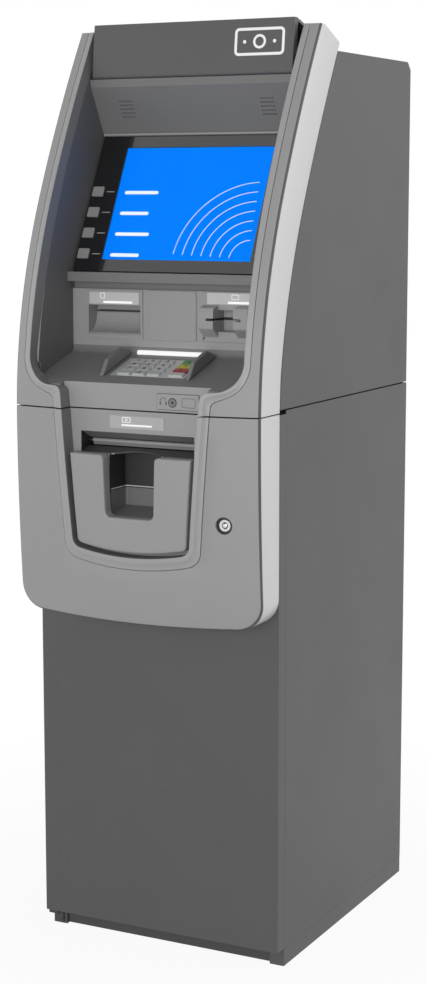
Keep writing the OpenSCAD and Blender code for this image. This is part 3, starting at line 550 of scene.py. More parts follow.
def eased(node: str, looks: Sequence[Look], width: float = 0.6, shortest: float = 3.0, steps: int = 2,
          sort: Callable[[Array, Array], Array] | None = None) -> Piece:
    """A node's own shape with its flat faces joined and its longer edges rounded.

    Args:
        node: The CAD node, which the piece replaces.
        looks: The finishes.
        width: Radius of the rounded edges.
        shortest: Edges shorter than this stay sharp.
        steps: Segments of the rounding.
        sort: Takes face centres in cabinet millimetres and normals, and gives each face's look number.

    Returns:
        The new object.
    """
    mesh = frame["nodes"][node].data.copy()
    mesh.materials.clear()
    work = bmesh.new()
    work.from_mesh(mesh)
    bmesh.ops.remove_doubles(work, verts=work.verts, dist=SAME_POINT)
    bmesh.ops.dissolve_limit(work, angle_limit=math.radians(FLAT_ANGLE), verts=work.verts, edges=work.edges)
    bmesh.ops.recalc_face_normals(work, faces=work.faces)
    weight = work.edges.layers.float.new("bevel_weight_edge")
    for edge in work.edges:
        long = edge.is_manifold and edge.calc_length() > shortest / 1000
        if long and edge.calc_face_angle() > math.radians(EASE_ANGLE):
            edge[weight] = 1.0
    work.to_mesh(mesh)
    work.free()
    mesh.name = node + "_finished"
    mesh.polygons.foreach_set("material_index", np.zeros(len(mesh.polygons), int))
    if sort:
        centres, normals = np.zeros(len(mesh.polygons) * 3), np.zeros(len(mesh.polygons) * 3)
        mesh.polygons.foreach_get("center", centres)
        mesh.polygons.foreach_get("normal", normals)
        centres = centres.reshape(-1, 3) * 1000.0 - np.array([0.0, FRONT_Y, 0.0])
        mesh.polygons.foreach_set("material_index", sort(centres, normals.reshape(-1, 3)).astype(int))
    shade(mesh, 30.0)
    obj = in_scene(mesh.name, mesh)
    finish_piece(obj, looks, frame["nodes"][node]["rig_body"], [node])
    if width:
        round_edges(obj, width, EASE_ANGLE, steps, weighted=True)
        flat = obj.modifiers.new("flat faces", "WEIGHTED_NORMAL")
        flat.keep_sharp, flat.weight = True, 50
    LOG.info("%s: %d faces", mesh.name, len(mesh.polygons))
    return obj


# ---------------------------------------------------------------- the fascia's form
def corner_arc(p: Array, q: Array, r: Array, radius: float, n: int) -> Array:
    """The arc that rounds a corner.

    Args:
        p: A point on the line that comes in.
        q: The corner.
        r: A point on the line that goes out.
        radius: The arc's radius.
        n: Its steps.

    Returns:
        n + 1 points of the circle that touches both lines: its middle is radius / sin(half the angle) from q.
    """
    u, v = (p - q) / np.linalg.norm(p - q), (r - q) / np.linalg.norm(r - q)
    half = math.acos(float(np.clip(u @ v, -1, 1))) / 2
    start, end = q + u * (radius / math.tan(half)), q + v * (radius / math.tan(half))
    mid = q + (u + v) / np.linalg.norm(u + v) * (radius / math.sin(half))
    a0 = math.atan2(*(start - mid)[::-1])
    sweep = (math.atan2(*(end - mid)[::-1]) - a0 + math.pi) % (2 * math.pi) - math.pi
    t = a0 + sweep * np.linspace(0, 1, n + 1)
    return mid + radius * np.column_stack([np.cos(t), np.sin(t)])


def between(p: Array, q: Array, n: int) -> Array:
    """n - 1 points that divide the line from p to q."""
    return p + (q - p) * (np.arange(1, n) / n)[:, None]


@dataclass
class Form:
    """The fascia's shape: a front that bulges across and leans back above, and its outlines in front view."""

    half: float = 200.0
    bulge: float = 20.0
    soft_depth: float = 3.5
    soft_width: float = 6.0
    skin: float = 4.0
    bead: float = 4.0
    bead_flush: float = 0.4
    crest: float = 6.8
    return_depth: float = 28.8
    face_y: float = -87.3
    tuck_z: float = 805.0
    tuck: float = 0.000151
    lean_z: float = 813.0
    lean: float = 0.00069
    brow_z: float = 1133.0
    brow_slope: float = 0.4416
    brow: float = 0.00033
    seam: float = 828.0
    top_z: float = 1377.0
    rear_low: float = -22.4
    rear_depth: Pair = (64.9, 15.6)
    bevel_top: Pair = (124.5, 1376.4)
    bevel_end: Pair = (178.8, 1353.8)
    bottom_r: float = 430.0

    def edge_y(self, z: Array) -> Array:
        """The front edge over height.

        Args:
            z: Heights.

        Returns:
            Its depth: a slight tuck at the bottom, then upright, then leaning back as a parabola that is
            flatter at the brow; each stretch is a square of the height from its start.
        """
        z = np.asarray(z, float)
        low = self.face_y + self.tuck * np.square(self.tuck_z - z)
        mid = self.face_y + self.lean * np.square(z - self.lean_z)
        up = z - self.brow_z
        brow_y = self.face_y + self.lean * (self.brow_z - self.lean_z) ** 2
        high = brow_y + self.brow_slope * up + self.brow * np.square(up)
        return np.select([z < self.tuck_z, z < self.lean_z, z < self.brow_z], [low, self.face_y, mid], high)

    def face(self, xz: Array, d: Array | float = 6.0) -> Array:
        """The front surface: the edge, less bulge (1 - (x / half)^2), with a quarter-round soft edge.

        Args:
            xz: Points in front view.
            d: Their distance from the outer edge, which counts up to the soft edge's width.

        Returns:
            Their depth.
        """
        d = np.minimum(np.asarray(d, float), self.soft_width)
        soft = self.soft_depth * np.sqrt(np.maximum(0.0, 1.0 - np.square(1.0 - d / self.soft_width)))
        bulge = self.bulge * (1.0 - np.square(xz[..., 0] / self.half))
        return self.edge_y(xz[..., 1]) + self.soft_depth - soft - bulge

    def rear(self, z: Array) -> Array:
        """The strips' rear edge: upright below 830, then 65 to 80 mm behind the front, cut by the bevel."""
        near, more = self.rear_depth
        grow = np.sin(math.pi / 2 * np.clip((z - 880.0) / 450.0, 0.0, 1.0))
        rim = np.where(z < 830.0, self.rear_low, self.edge_y(z) + near + more * grow)
        (y0, z0), (y1, z1) = self.bevel_end, self.bevel_top
        return np.minimum(rim, np.interp(z, [z0, z1], [y0, y1]))

    def bead_lift(self, z: Array) -> Array:
        """How far the trim bead stands proud: raised up to 850, flush from 885 upwards."""
        s = np.clip((np.asarray(z, float) - 850.0) / 35.0, 0.0, 1.0)
        return self.bead + (self.bead_flush - self.bead) * s * s * (3.0 - 2.0 * s)

    def head(self, top: Pair, hip: Triple, neck: Triple, foot: Pair) -> Array:
        """Outline of the head's opening: down the side, round the hip and the neck, to the seam.

        Args:
            top: Its upper end.
            hip: The corner where it turns inwards, and that corner's radius.
            neck: The corner where it turns down again, and its radius.
            foot: Its end on the seam.

        Returns:
            Its points, from the top.
        """
        t, h, k, f = (np.array(p[:2], float) for p in (top, hip, neck, foot))
        a, b = corner_arc(t, h, k, hip[2], 14), corner_arc(h, k, f, neck[2], 10)
        return np.vstack([t, between(t, a[0], 44), a, between(a[-1], b[0], 5), b, between(b[-1], f, 3), f])

    def door(self, seam: Pair, corner: Pair, foot_z: float, bottom_r: float) -> Array:
        """Outline of half the door's opening: down the side, round the corner, by a wide arc to the middle.

        Args:
            seam: Its upper end.
            corner: The corner's x and radius.
            foot_z: Its lowest height, in the middle.
            bottom_r: The wide arc's radius.

        Returns:
            Its points, from the seam.
        """
        low = lambda x: foot_z + bottom_r - np.sqrt(bottom_r ** 2 - np.square(x))
        s, c = np.array(seam, float), np.array([corner[0], low(corner[0])])
        a = corner_arc(s, c, np.array([corner[0] - 20.0, low(corner[0] - 20.0)]), corner[1], 14)
        x = a[-1][0] * (1.0 - np.arange(1, 21) / 20)
        return np.vstack([s, between(s, a[0], 16), a, np.column_stack([x, low(x)])])

    def head_lines(self) -> tuple[Array, Array]:
        """The head's groove, where its mouldings meet the trim bead, and the bead's inner edge."""
        top, foot = self.top_z, self.seam + 1
        return (self.head((184.6, top), (184.6, 866.8, 50), (129.3, 845.8, 10), (127.8, foot)),
                self.head((174.8, top), (174.8, 863.4, 42), (114.5, 861, 12), (111.4, foot)))

    def door_lines(self) -> tuple[Array, Array, Array, Array]:
        """The door's groove, its bead's inner edge, the fascia's outer edge, and the pocket panel's edge."""
        top, wide = self.seam - 1.0, self.bottom_r
        return (self.door((127.6, top), (110.6, 25.0), 599.5, wide),
                self.door((111.2, top), (95.5, 16.0), 618.0, wide),
                self.door((self.half, top), (self.half, 38.0), 518.0, 2600.0),
                self.door((99.5, 765.0), (89.5, 8.0), 624.5, wide))


FORM = Form()


def both_sides(path: Array) -> Array:
    """The outline from the left seam round the middle to the right seam."""
    return np.vstack([path * FLIP[:2], path[-2::-1]])


def section(xz: Array, y: Array) -> Array:
    """Front-view points (sections, points, 2) and their depths, as cabinet points."""
    return np.stack([xz[..., 0], y, xz[..., 1]], axis=-1)


def inward(a: Array, b: Array, distance: Sequence[float]) -> Array:
    """Points at the given distances from a towards b, for each station: (stations, distances, 2)."""
    way = (b - a) / np.linalg.norm(b - a, axis=1, keepdims=True)
    return a[:, None, :] + way[:, None, :] * np.asarray(distance, float)[None, :, None]


@dataclass
class Mouldings:
    """The fascia's parts that run round an opening: front moulding, side strip and trim bead."""

    line: Pair = (0.6, 0.9)
    line_depth: float = 2.0
    gap_shade_columns: Pair = (7, 14)
    trim_gap: float = 0.8
    nose: float = 1.2
    wall: float = 1.8
    chamfer: float = 0.35
    rows: tuple[float, ...] = (0.012, 0.25, 0.5, 0.75)
    lip_depth: float = 0.6

    def front(self, groove: Array, outer: Array) -> Solid:
        """The front moulding: bulged face, soft outer edge, joint line, and the inner skin 4 mm behind.

        Args:
            groove: Outline that it starts from, beside the trim bead.
            outer: Outline of the fascia's edge, with as many points.

        Returns:
            The shell, in which the soft edge's last 2.7 mm and the joint line have look 1, painted shade of
            the gap between the moulding and the strip.
        """
        t = np.linspace(0.0, math.pi / 2, 9)
        soft = FORM.soft_width * (1.0 - np.sin(t))
        at6 = inward(outer, groove, [FORM.soft_width])[:, 0]
        face = groove[:, None] + (at6 - groove)[:, None] * np.array(self.rows)[None, :, None]
        rim = inward(outer, groove, soft)
        edge = FORM.edge_y(outer[:, 1]) + FORM.soft_depth
        joint = inward(outer, groove, [0.0, self.chamfer, self.line_depth, self.line_depth, FORM.skin])
        y0, y1 = self.line
        joint_y = edge[:, None] + np.array([y0 - self.chamfer, y0, y0, y1, y1])
        inner = groove[:, None] + (joint[:, -1] - groove)[:, None] * np.array([1.0, 0.5, 0.0])[None, :, None]
        lip = groove[:, None]
        shell = ring_loft(np.concatenate([
            section(face, FORM.face(face)),
            section(rim, FORM.face(rim, soft[None, :])),
            section(joint, joint_y),
            section(inner, FORM.face(inner) + FORM.skin),
            section(lip, FORM.face(lip) + self.lip_depth)], axis=1))
        # Faces at the soft edge's end and in the joint take look 1: painted shade of the gap at the joint
        # line.
        column = np.arange(len(shell.faces)) % (len(soft) + 13)
        shell.look = ((column >= self.gap_shade_columns[0]) & (column <= self.gap_shade_columns[1])).astype(int)
        return shell

    def strip(self, toward: Array, outer: Array, back: Array) -> Solid:
        """The side strip, from the joint line back to its rear edge, with rounded corners.

        Args:
            toward: Points that lie inwards of the outline.
            outer: The outline.
            back: Depth of the rear edge at each station.

        Returns:
            The shell, whose section is a U that is open towards the machine.
        """
        front = FORM.edge_y(outer[:, 1]) + FORM.soft_depth + self.line[1] + 0.1
        deep = [1.0, 0.3, 0.0, 0.0, 0.0, 0.3, 1.0, FORM.skin, FORM.skin]
        step = np.array([0.0, 0.3, 1.0, 0.0, -1.0, -0.3, 0.0, 0.0, 0.0])
        base = np.stack([front, front, front, (front + back) / 2, back, back, back, back, front], axis=1)
        xz = inward(outer, toward, deep)
        return ring_loft(section(xz, base + step[None, :]))

    def bead(self, groove: Array, inner: Array, back: Array, lean: Array) -> Solid:
        """The trim bead: a hollow slope from the groove, a flat crest, a round nose and a deep return wall.

        Args:
            groove: Outline of the groove.
            inner: Outline of the inner edge.
            back: Depth of the return wall's rear edge at each station.
            lean: How far the wall has moved inwards at its rear edge.

        Returns:
            The shell, whose return wall has look 1.
        """
        width = np.linalg.norm(inner - groove, axis=1)[:, None]
        lift = FORM.bead_lift(inner[:, 1])[:, None]
        crest = width - np.minimum(width * 0.5, FORM.crest)
        t = np.linspace(0.0, 1.0, 11)[None, :]
        slope = self.trim_gap + (crest - self.trim_gap) * t
        rise = lift * (0.1 * t + 0.86 * t ** 2)
        flat = np.concatenate([crest + 0.4, crest + 1.0, width - self.nose - 1.0, width - self.nose], axis=1)
        flat_up = lift * np.array([0.985, 1.0, 1.0, 1.0])
        turn = np.linspace(0.0, math.pi / 2, 6)[None, 1:]
        nose = width - self.nose + self.nose * np.sin(turn)
        nose_up = lift - self.nose * (1 - np.cos(turn))
        up = np.concatenate([rise, flat_up, nose_up], axis=1)
        deep = width + lean[:, None]
        gap = np.full_like(width, self.trim_gap)
        along = np.concatenate([slope, flat, nose, deep, deep - self.wall, width - self.wall, gap], axis=1)
        xz = groove[:, None, :] + ((inner - groove) / width)[:, None, :] * along[..., None]
        k = up.shape[1]
        y = FORM.face(xz)
        y[:, :k] -= up
        y[:, k:k + 2] = back[:, None]
        y[:, k + 2:] += self.wall
        shell = ring_loft(section(xz, y))
        column = np.arange(len(shell.faces)) % y.shape[1]
        shell.look = np.where((column >= k - 1) & (column < k + 2), 1, 0)
        return shell


MOULDINGS = Mouldings()


def both(name: str, right: Sequence[Solid], looks: Sequence[Look], node: str, soften: float,
         angle: float) -> None:
    """Builds a piece of the head from its right half: each shell, followed by its reflection."""
    solids = [s for r in right for s in (r, Solid(r.points * FLIP, [f[::-1] for f in r.faces], r.look))]
    build(name, solids, looks, "head", [node], soften, angle)


# ---------------------------------------------------------------- sub-assemblies
@dataclass
class Cabinet:
    """Safe, head housing and what they hold. A skid is given as its width and its height."""

    own_shapes: tuple[tuple[str, Look, float], ...] = (
        ("safe_sides", Look.PAINT, 0.25), ("safe_floor", Look.PAINT, 0.25), ("safe_roof", Look.PAINT, 0.25),
        ("safe_back", Look.PAINT, 0.25), ("safe_frame", Look.PAINT, 0.25), ("housing_shell", Look.PAINT, 1.2),
        ("rear_cover", Look.PAINT, 0.5), ("power_inlet", Look.BLACK, 0.5), ("computer_unit", Look.STEEL, 0.8),
        ("dispenser_frame", Look.STEEL, 0.4), ("cash_cassette", Look.LINING_DARK_AND_WALL_SHADE, 1.0))
    screw: tuple[Pair, ...] = ((0.6, 0.0), (3.4, 0.0), (3.4, 0.35), (2.6, 0.8), (1.2, 0.95), (1.0, 0.55),
                               (0.3, 0.55))
    half: float = 200.0
    depth: float = 460.0
    skid: Pair = (23.7, 28.0)
    back_y: float = 459.0
    roller_y: float = 70.0
    roller_z: float = 776.2
    roller_gap: float = 24.4

    def build(self) -> None:
        """Builds the cabinet's pieces."""
        width, high = self.skid
        inside = self.half - width + 0.1
        skids = [block((x, 0.0, 0.0), (x + width, self.depth, high)) for x in (-self.half, self.half - width)]
        rails = [block((-inside, y0, z0), (inside, y1, high), 1)
                 for y0, y1, z0 in ((4.0, 10.0, 2.0), (self.depth - 30.0, self.depth, 0.0))]
        build("base_rails", skids + rails, [Look.PAINT, Look.PAINT_DARK], "cabinet", ["base_frame"], 0.8)
        for node, look, ease in self.own_shapes:
            eased(node, [look], ease)
        for node in ("feed_roller", "pinch_roller"):
            eased(node, [Look.RUBBER, Look.BRIGHT], 0.3, sort=self.roller_looks)
        eased("door_hinge_pins", [Look.PAINT_DARK, Look.BRIGHT], 0.3, sort=self.pin_looks)
        eased("head_hinge_brackets", [Look.BRIGHT], 0.3)
        back = Plane((0.0, self.back_y, 0.0), (-1.0, 0.0, 0.0), UP, BACK)
        spots = [(x, z) for x in (-130.0, 0.0, 130.0) for z in (938.0, 1242.0)]
        build("cover_screws", [turned(back, self.screw, at, 20) for at in spots], [Look.BRIGHT], "cabinet")

    def roller_looks(self, centre: Array, normal: Array) -> Array:
        """Bright shafts, within 5 mm of a roller's axis, and rubber round them."""
        up = (centre[:, 2] - self.roller_z + self.roller_gap / 2) % self.roller_gap
        return np.where(np.hypot(centre[:, 1] - self.roller_y, up) < 5, 1, 0)

    @staticmethod
    def pin_looks(centre: Array, normal: Array) -> Array:
        """Bright pins, which stand clear of their painted brackets."""
        low = (centre[:, 2] > 29.0) & (centre[:, 2] < 60.0)
        return np.where(low | ((centre[:, 2] > 798.0) & (centre[:, 2] < 825.0)), 1, 0)


@dataclass
class HeadFascia:
    """Front mouldings, side strips and trim bead of the lifting head."""

    strip_top: float = 1376.4

    def build(self) -> None:
        """Builds both sides of the fascia."""
        groove, inner = FORM.head_lines()
        outer = np.column_stack([np.full(len(groove), FORM.half), groove[:, 1]])
        front = MOULDINGS.front(groove, outer)
        # The dark paint, look 1, is painted shade of the gap at the joint line.
        both("head_mouldings", [front], [Look.FASCIA, Look.PAINT], "upper_fascia", 0.3, 55)
        self.strips()
        depth = np.interp(inner[:, 1], [866.0, 880.0], [FORM.return_depth, FORM.return_depth - 10.0])
        back = np.minimum(FORM.face(inner) + depth, np.interp(inner[:, 1], [1353.8, 1376.4], [176.8, 122.5]))
        bead = MOULDINGS.bead(groove, inner, back, np.interp(inner[:, 1], [904.0, 956.0], [0.0, 3.0]))
        both("head_trim", [bead], [Look.TRIM, Look.LINING], "upper_trim", 0.25, 60)

    def strips(self) -> None:
        """The silver strips with their bevelled top ends, and the caps behind them."""
        (y0, z0), (y1, z1) = FORM.bevel_top, FORM.bevel_end
        z = np.concatenate([np.linspace(FORM.seam + 1, z1, 60), np.linspace(z1, self.strip_top, 8)[1:]])
        outer = np.column_stack([np.full(len(z), FORM.half), z])
        strip = MOULDINGS.strip(outer - np.array([1.0, 0.0]), outer, FORM.rear(z))
        way = np.array([y1 - y0, z1 - z0]) / math.hypot(y1 - y0, z1 - z0)
        down = np.array([way[1], -way[0]])
        a, b = np.array([y0, z0]) + way, np.array([y1, z1]) - way
        cap = prism(ACROSS, [a + down * 0.3, b + down * 0.3, b + down * 3, a + down * 3], 178.4, 197.0)
        both("head_side_strips", [strip, cap], [Look.STRIP], "head_strips", 0.25, 60)


@dataclass
class Recess:
    """Lining of the head's opening, with the shelf, and the sign and box over it."""

    wall_x: float = 170.0
    sign_face: tuple[Pair, Pair] = ((93.2, 1386.0), (85.4, 1314.0))
    emblem: Pair = (112.0, 3.0)
    raised: Pair = (-0.3, 0.25)

    def build(self) -> None:
        """Builds the lining, the sign and its pictogram, and the box behind."""
        eased("recess_panel", [Look.LINING, Look.LINING_DARK_AND_WALL_SHADE, Look.FASCIA], 1.0, 2.4, sort=self.panel_looks)
        eased("topper_sign", [Look.SIGN], 1.4, steps=3)
        eased("topper_box", [Look.LINING], 1.2)
        self.corners()
        self.pictogram()

    def panel_looks(self, centre: Array, normal: Array) -> Array:
        """Side walls in a darker tone, painted shade of the recess, and the front's own tone on the apron and
        on the panel of the modules.
        """
        wall = (np.abs(normal[:, 0]) > 0.9) & (np.abs(centre[:, 0]) > self.wall_x)
        front = (normal[:, 1] < -0.95) & (centre[:, 2] < 1000.0)
        return np.select([wall, front], [1, 2], 0)

    def corners(self) -> None:
        """The hollow fillet between the shelf and the panel over it, and the light lip over the glass."""
        p, q, r = np.array([(31.0, 960.0), (31.0, 901.0), (-20.0, 884.8)])
        hollow = np.vstack([q + np.array([0.8, -0.8]), corner_arc(p, q, r, 13.0, 10)])
        lip = prism(ACROSS, circle(1.9, 20, (125.2, 1224.6)), -169.0, 169.0, 1)
        fillet = prism(ACROSS, hollow, -170.9, 170.9)
        build("recess_corners", [fillet, lip], [Look.LINING, Look.FASCIA], "head")

    def pictogram(self) -> None:
        """A drawn banknote, raised a hair on the sign's face."""
        (y1, z1), (y0, z0) = self.sign_face
        face = leaning((y0 + y1) / 2, (z0 + z1) / 2, math.degrees(math.atan2(z1 - z0, y1 - y0)))
        x, v = self.emblem
        lines = [outlined(face, (76, 36, 5), 4.0, *self.raised, at=self.emblem),
                 stroke(face, circle(8.5, 36, self.emblem), 3.6, *self.raised, True)]
        dots = [prism(face, circle(2.6, 20, (x + dx, v)), *self.raised) for dx in (-24, 24)]
        build("sign_pictogram", lines + dots, [Look.WHITE], "head")


@dataclass
class Screen:
    """Front glass with its black border, display, side keys and their marks."""

    plane: Plane = leaning(76.3, 1121.4, 90.0 - 26.3)
    width: float = 246.0
    height: float = 184.5
    key: Pair = (19.0, 16.0)
    key_x: float = 156.8
    glass: Triple = (169.0, -111.5, 112.0)
    drawn: Pair = (-1.2, -0.9)
    ring_centre: Pair = (118.0, -88.0)

    def key_v(self, row: int) -> float:
        """Height of a side key on the glass."""
        return 19.0 - 34.2 * row

    def build(self) -> None:
        """Builds the screen's pieces."""
        self.border()
        face = plate(self.plane, (self.width, self.height, 0.4), -4.0, -1.0, n=2)
        build("display_face", [face], [Look.DISPLAY], "head")
        eased("display_module", [Look.BLACK], 0.4)
        window = plate(self.plane, (self.width + 0.8, self.height + 0.8, 0.4), -0.8, -0.05, n=2)
        build("display_window", [window], [Look.CLEAR], "head")
        self.artwork()
        self.keys()

    def border(self) -> None:
        """The black border as one sheet of cells, open at the display and the keys, thickened by Solidify."""
        x1, v0, v1 = self.glass
        kw, kh = self.key[0] / 2 + 0.5, self.key[1] / 2 + 0.5
        us = np.array([0.0, self.width / 2 + 0.5, self.key_x - kw, self.key_x + kw, x1])
        us = np.unique(np.concatenate([-us, us]))
        rows = [self.key_v(i) + s * kh for i in range(4) for s in (-1, 1)]
        vs = np.unique(np.round([v0, v1, -self.height / 2 - 0.5, self.height / 2 + 0.5] + rows, 4))
        u, v = np.meshgrid(us, vs, indexing="ij")
        cu, cv = np.meshgrid((us[:-1] + us[1:]) / 2, (vs[:-1] + vs[1:]) / 2, indexing="ij")
        window = (np.abs(cu) < self.width / 2) & (np.abs(cv) < self.height / 2)
        in_key = np.any([np.abs(cv - self.key_v(i)) < kh for i in range(4)], axis=0)
        i, j = np.nonzero(~window & ~(in_key & (np.abs(np.abs(cu) - self.key_x) < kw)))
        a = i * len(vs) + j
        used, back = np.unique(np.stack([a, a + len(vs), a + len(vs) + 1, a + 1], axis=1), return_inverse=True)
        local = np.column_stack([u.ravel(), v.ravel(), np.zeros(u.size)])[used]
        mesh = bpy.data.meshes.new("glass_border")
        mesh.from_pydata(to_row(self.plane.place(local)), [], back.reshape(-1, 4).tolist())
        obj = in_scene("glass_border", mesh)
        finish_piece(obj, [Look.GLASS], "head", ["screen_glass"])
        shell = obj.modifiers.new("thickness", "SOLIDIFY")
        shell.thickness, shell.offset = 0.0038, -1.0
        round_edges(obj, 0.35, 60.0)

    def artwork(self) -> None:
        """A plain start page: rounded bars beside the keys, and rings that widen from a lower corner."""
        bars = [plate(self.plane, (58.0 - 9.0 * odd, 5.5, 2.7), *self.drawn,
                      at=(-82.0 - 4.5 * odd, self.key_v(i) - 1)) for i, odd in enumerate((0, 1, 0, 1))]
        t = np.linspace(math.radians(93), math.radians(177), 40)
        arc = np.column_stack([np.cos(t), np.sin(t)])
        rings = [stroke(self.plane, self.ring_centre + (30.0 + 15.5 * k) * arc, 0.9, *self.drawn)
                 for k in range(7)]
        build("display_artwork", bars + rings, [Look.INK], "head")

    def keys(self) -> None:
        """Soft-cornered caps for the eight keys, and a mark from each towards the display."""
        for side, sign in (("l", -1), ("r", 1)):
            for i in range(4):
                at = (sign * self.key_x, self.key_v(i))
                cap = plate(self.plane, (*self.key, 1.6), -7.0, 2.0, at=at)
                stem = plate(self.plane, (8.0, 8.0, 1.0), -16.0, -7.0, at=at)
                node = f"menu_key_{side}{i + 1}"
                build(node + "_cap", [cap, stem], [Look.KEY_GREY], "b_" + node, [node], 0.5, 60, 3)
        marks = [stroke(self.plane, [(s * 128.5, self.key_v(i)), (s * 142.5, self.key_v(i))], 1.6, -0.2, 0.08)
                 for s in (-1, 1) for i in range(4)]
        build("key_marks", marks, [Look.MARK], "head")


@dataclass
class Modules:
    """Receipt and card bezels, blanking plate, lit plates and the units behind them."""

    face_y: float = 29.0
    plates: tuple[Four, Four] = ((-141.0, -56.0, 972.5, 990.5), (58.0, 143.0, 976.5, 993.5))
    bars: tuple[Pair, Pair] = ((-92.0, 975.5), (117.0, 979.4))
    own_shapes: tuple[tuple[str, Look, float], ...] = (
        ("receipt_bezel", Look.FASCIA, 0.9), ("card_bezel", Look.FASCIA, 0.9),
        ("blank_plate", Look.FASCIA, 0.5), ("receipt_printer", Look.STEEL, 0.3),
        ("card_reader", Look.STEEL, 0.4), ("paper_roll", Look.PAPER, 0.3))
    guide: tuple[Pair, ...] = ((24.0, 899.2), (30.9, 901.4), (30.9, 905.5), (26.0, 905.5), (24.4, 904.6),
                               (23.9, 903.2))

    def build(self) -> None:
        """Builds the modules' pieces."""
        for node, look, ease in self.own_shapes:
            eased(node, [look], ease)
        self.lit_plates()
        self.slits()

    def lit_plates(self) -> None:
        """Light plates over the mouths, each with a glowing bar and a plain page or card drawn on it."""
        solids = [plate(facing((x0 + x1) / 2, self.face_y, (z0 + z1) / 2), (x1 - x0, z1 - z0, 1.2), 0.02, 0.9)
                  for x0, x1, z0, z1 in self.plates]
        solids += [plate(facing(x, self.face_y, z), (50.0, 3.4, 0.8), 0.5, 1.0, 1) for x, z in self.bars]
        solids += [outlined(facing(x, self.face_y, z), size, 0.9, 0.5, 1.0, 1)
                   for x, z, size in ((-118.0, 985.0, (7.0, 7.6, 0.8)), (104.0, 987.6, (11.0, 6.6, 1.0)))]
        solids.append(prism(ACROSS, self.guide, -57.0, 57.0, 1))
        build("lit_plates", solids, [Look.PLATE, Look.LIT], "head", ["lit_guides"], 0.3, 50)

    def slits(self) -> None:
        """The dark mouths: the paper slit and the curved card slit."""
        paper = block((-139.8, 49.0, 960.5), (-56.9, 60.0, 962.2))
        t = np.linspace(-1.0, 1.0, 24)
        curve = np.column_stack([92.0 + 27.6 * t, 955.0 - 0.8 * np.sin(t * 2.6)])
        card = stroke(facing(0.0, 60.0, 0.0), curve, 2.6, 0.0, 12.5)
        build("mouth_shadows", [paper, card], [Look.BLACK], "head")


@dataclass
class Keypad:
    """Keypad plate, keys with their figures, privacy wings and the light strip's shelf."""

    plane: Plane = leaning(-50.7, 875.0045, math.degrees(math.atan2(35.0, 110.0)))
    columns: Four = (-40.5, -16.0, 8.5, 45.5)
    widths: Four = (20.0, 20.0, 20.0, 23.0)
    first_row: float = 53.2
    pitch: float = 14.7
    key_depth: float = 11.5
    names: str = "1 2 3 green 4 5 6 yellow 7 8 9 red left 0 right spare"

    def build(self) -> None:
        """Builds the keypad's pieces: the plate, the wings, and each key's cap with its figure or sign."""
        eased("keypad_plate", [Look.KEY], 0.5)
        eased("keypad_shields", [Look.LINING], 1.6, steps=3)
        special = {"green": (Look.GREEN, "o"), "yellow": (Look.YELLOW, "<"), "red": (Look.RED, "x"),
                   "left": (Look.KEY, ""), "right": (Look.KEY, ""), "spare": (Look.KEY, "")}
        for k, name in enumerate(self.names.split()):
            row, column = divmod(k, 4)
            at = (self.columns[column], self.first_row - self.pitch * row)
            look, text = special.get(name, (Look.KEY, name))
            solids = [plate(self.plane, (self.widths[column], self.key_depth, 1.5), -9.0, 2.45, at=at)]
            if text:
                solids.append(figure(self.plane, text, 10.0, at, 2.3, 2.6, 1))
            node = "key_" + name
            build(node + "_cap", solids, [look, Look.FIGURE], "b_" + node, [node], 0.45, 60, 3)


@dataclass
class Apron:
    """Front of the shelf: the earphone jack with its plate and drawn signs."""

    y: float = -79.0
    centre: Pair = (67.5, 843.5)
    jack: Pair = (59.0, 842.5)
    rim: tuple[Pair, ...] = ((5.7, 0.5), (5.7, 1.75), (6.1, 2.0), (6.5, 2.0), (6.85, 1.7), (6.85, 0.5))
    dish: tuple[Pair, ...] = ((1.9, 0.5), (1.9, 1.62), (5.75, 1.9), (5.75, 0.5))

    def build(self) -> None:
        """Builds the jack plate with its drawn edge, the jack's rim and dish, its hole as a black disc of
        painted shade, and the drawn signs.
        """
        flat = facing(0.0, self.y, 0.0)
        t = np.linspace(0.0, math.pi, 24)
        arch = np.column_stack([44.0 + 4.6 * np.cos(t), 844.0 + 5.0 * np.sin(t)])
        pads = [plate(flat, (2.2, 4.6, 0.9), 1.4, 1.62, 3, (44.0 + dx, 841.2)) for dx in (-4.6, 4.6)]
        solids = [plate(flat, (67.0, 22.0, 1.6), 0.02, 1.5, at=self.centre),
                  outlined(flat, (67.6, 22.6, 1.9), 0.9, 0.02, 0.7, 3, self.centre),
                  turned(flat, self.rim, self.jack, 40, 2), turned(flat, self.dish, self.jack, 40, 1),
                  # The hole is a black disc: painted shade.
                  prism(flat, circle(2.0, 28, self.jack), 0.6, 1.66, 2),
                  stroke(flat, arch, 0.9, 1.4, 1.62, look=3), *pads,
                  outlined(flat, (21.0, 13.0, 2.0), 0.7, 1.4, 1.6, 3, (85.0, 843.0))]
        build("jack_plate_finished", solids, [Look.FASCIA, Look.LINING, Look.BLACK, Look.LINING_SHADE_AND_PRINT], "head",
              ["jack_plate"], 0.2, 55)


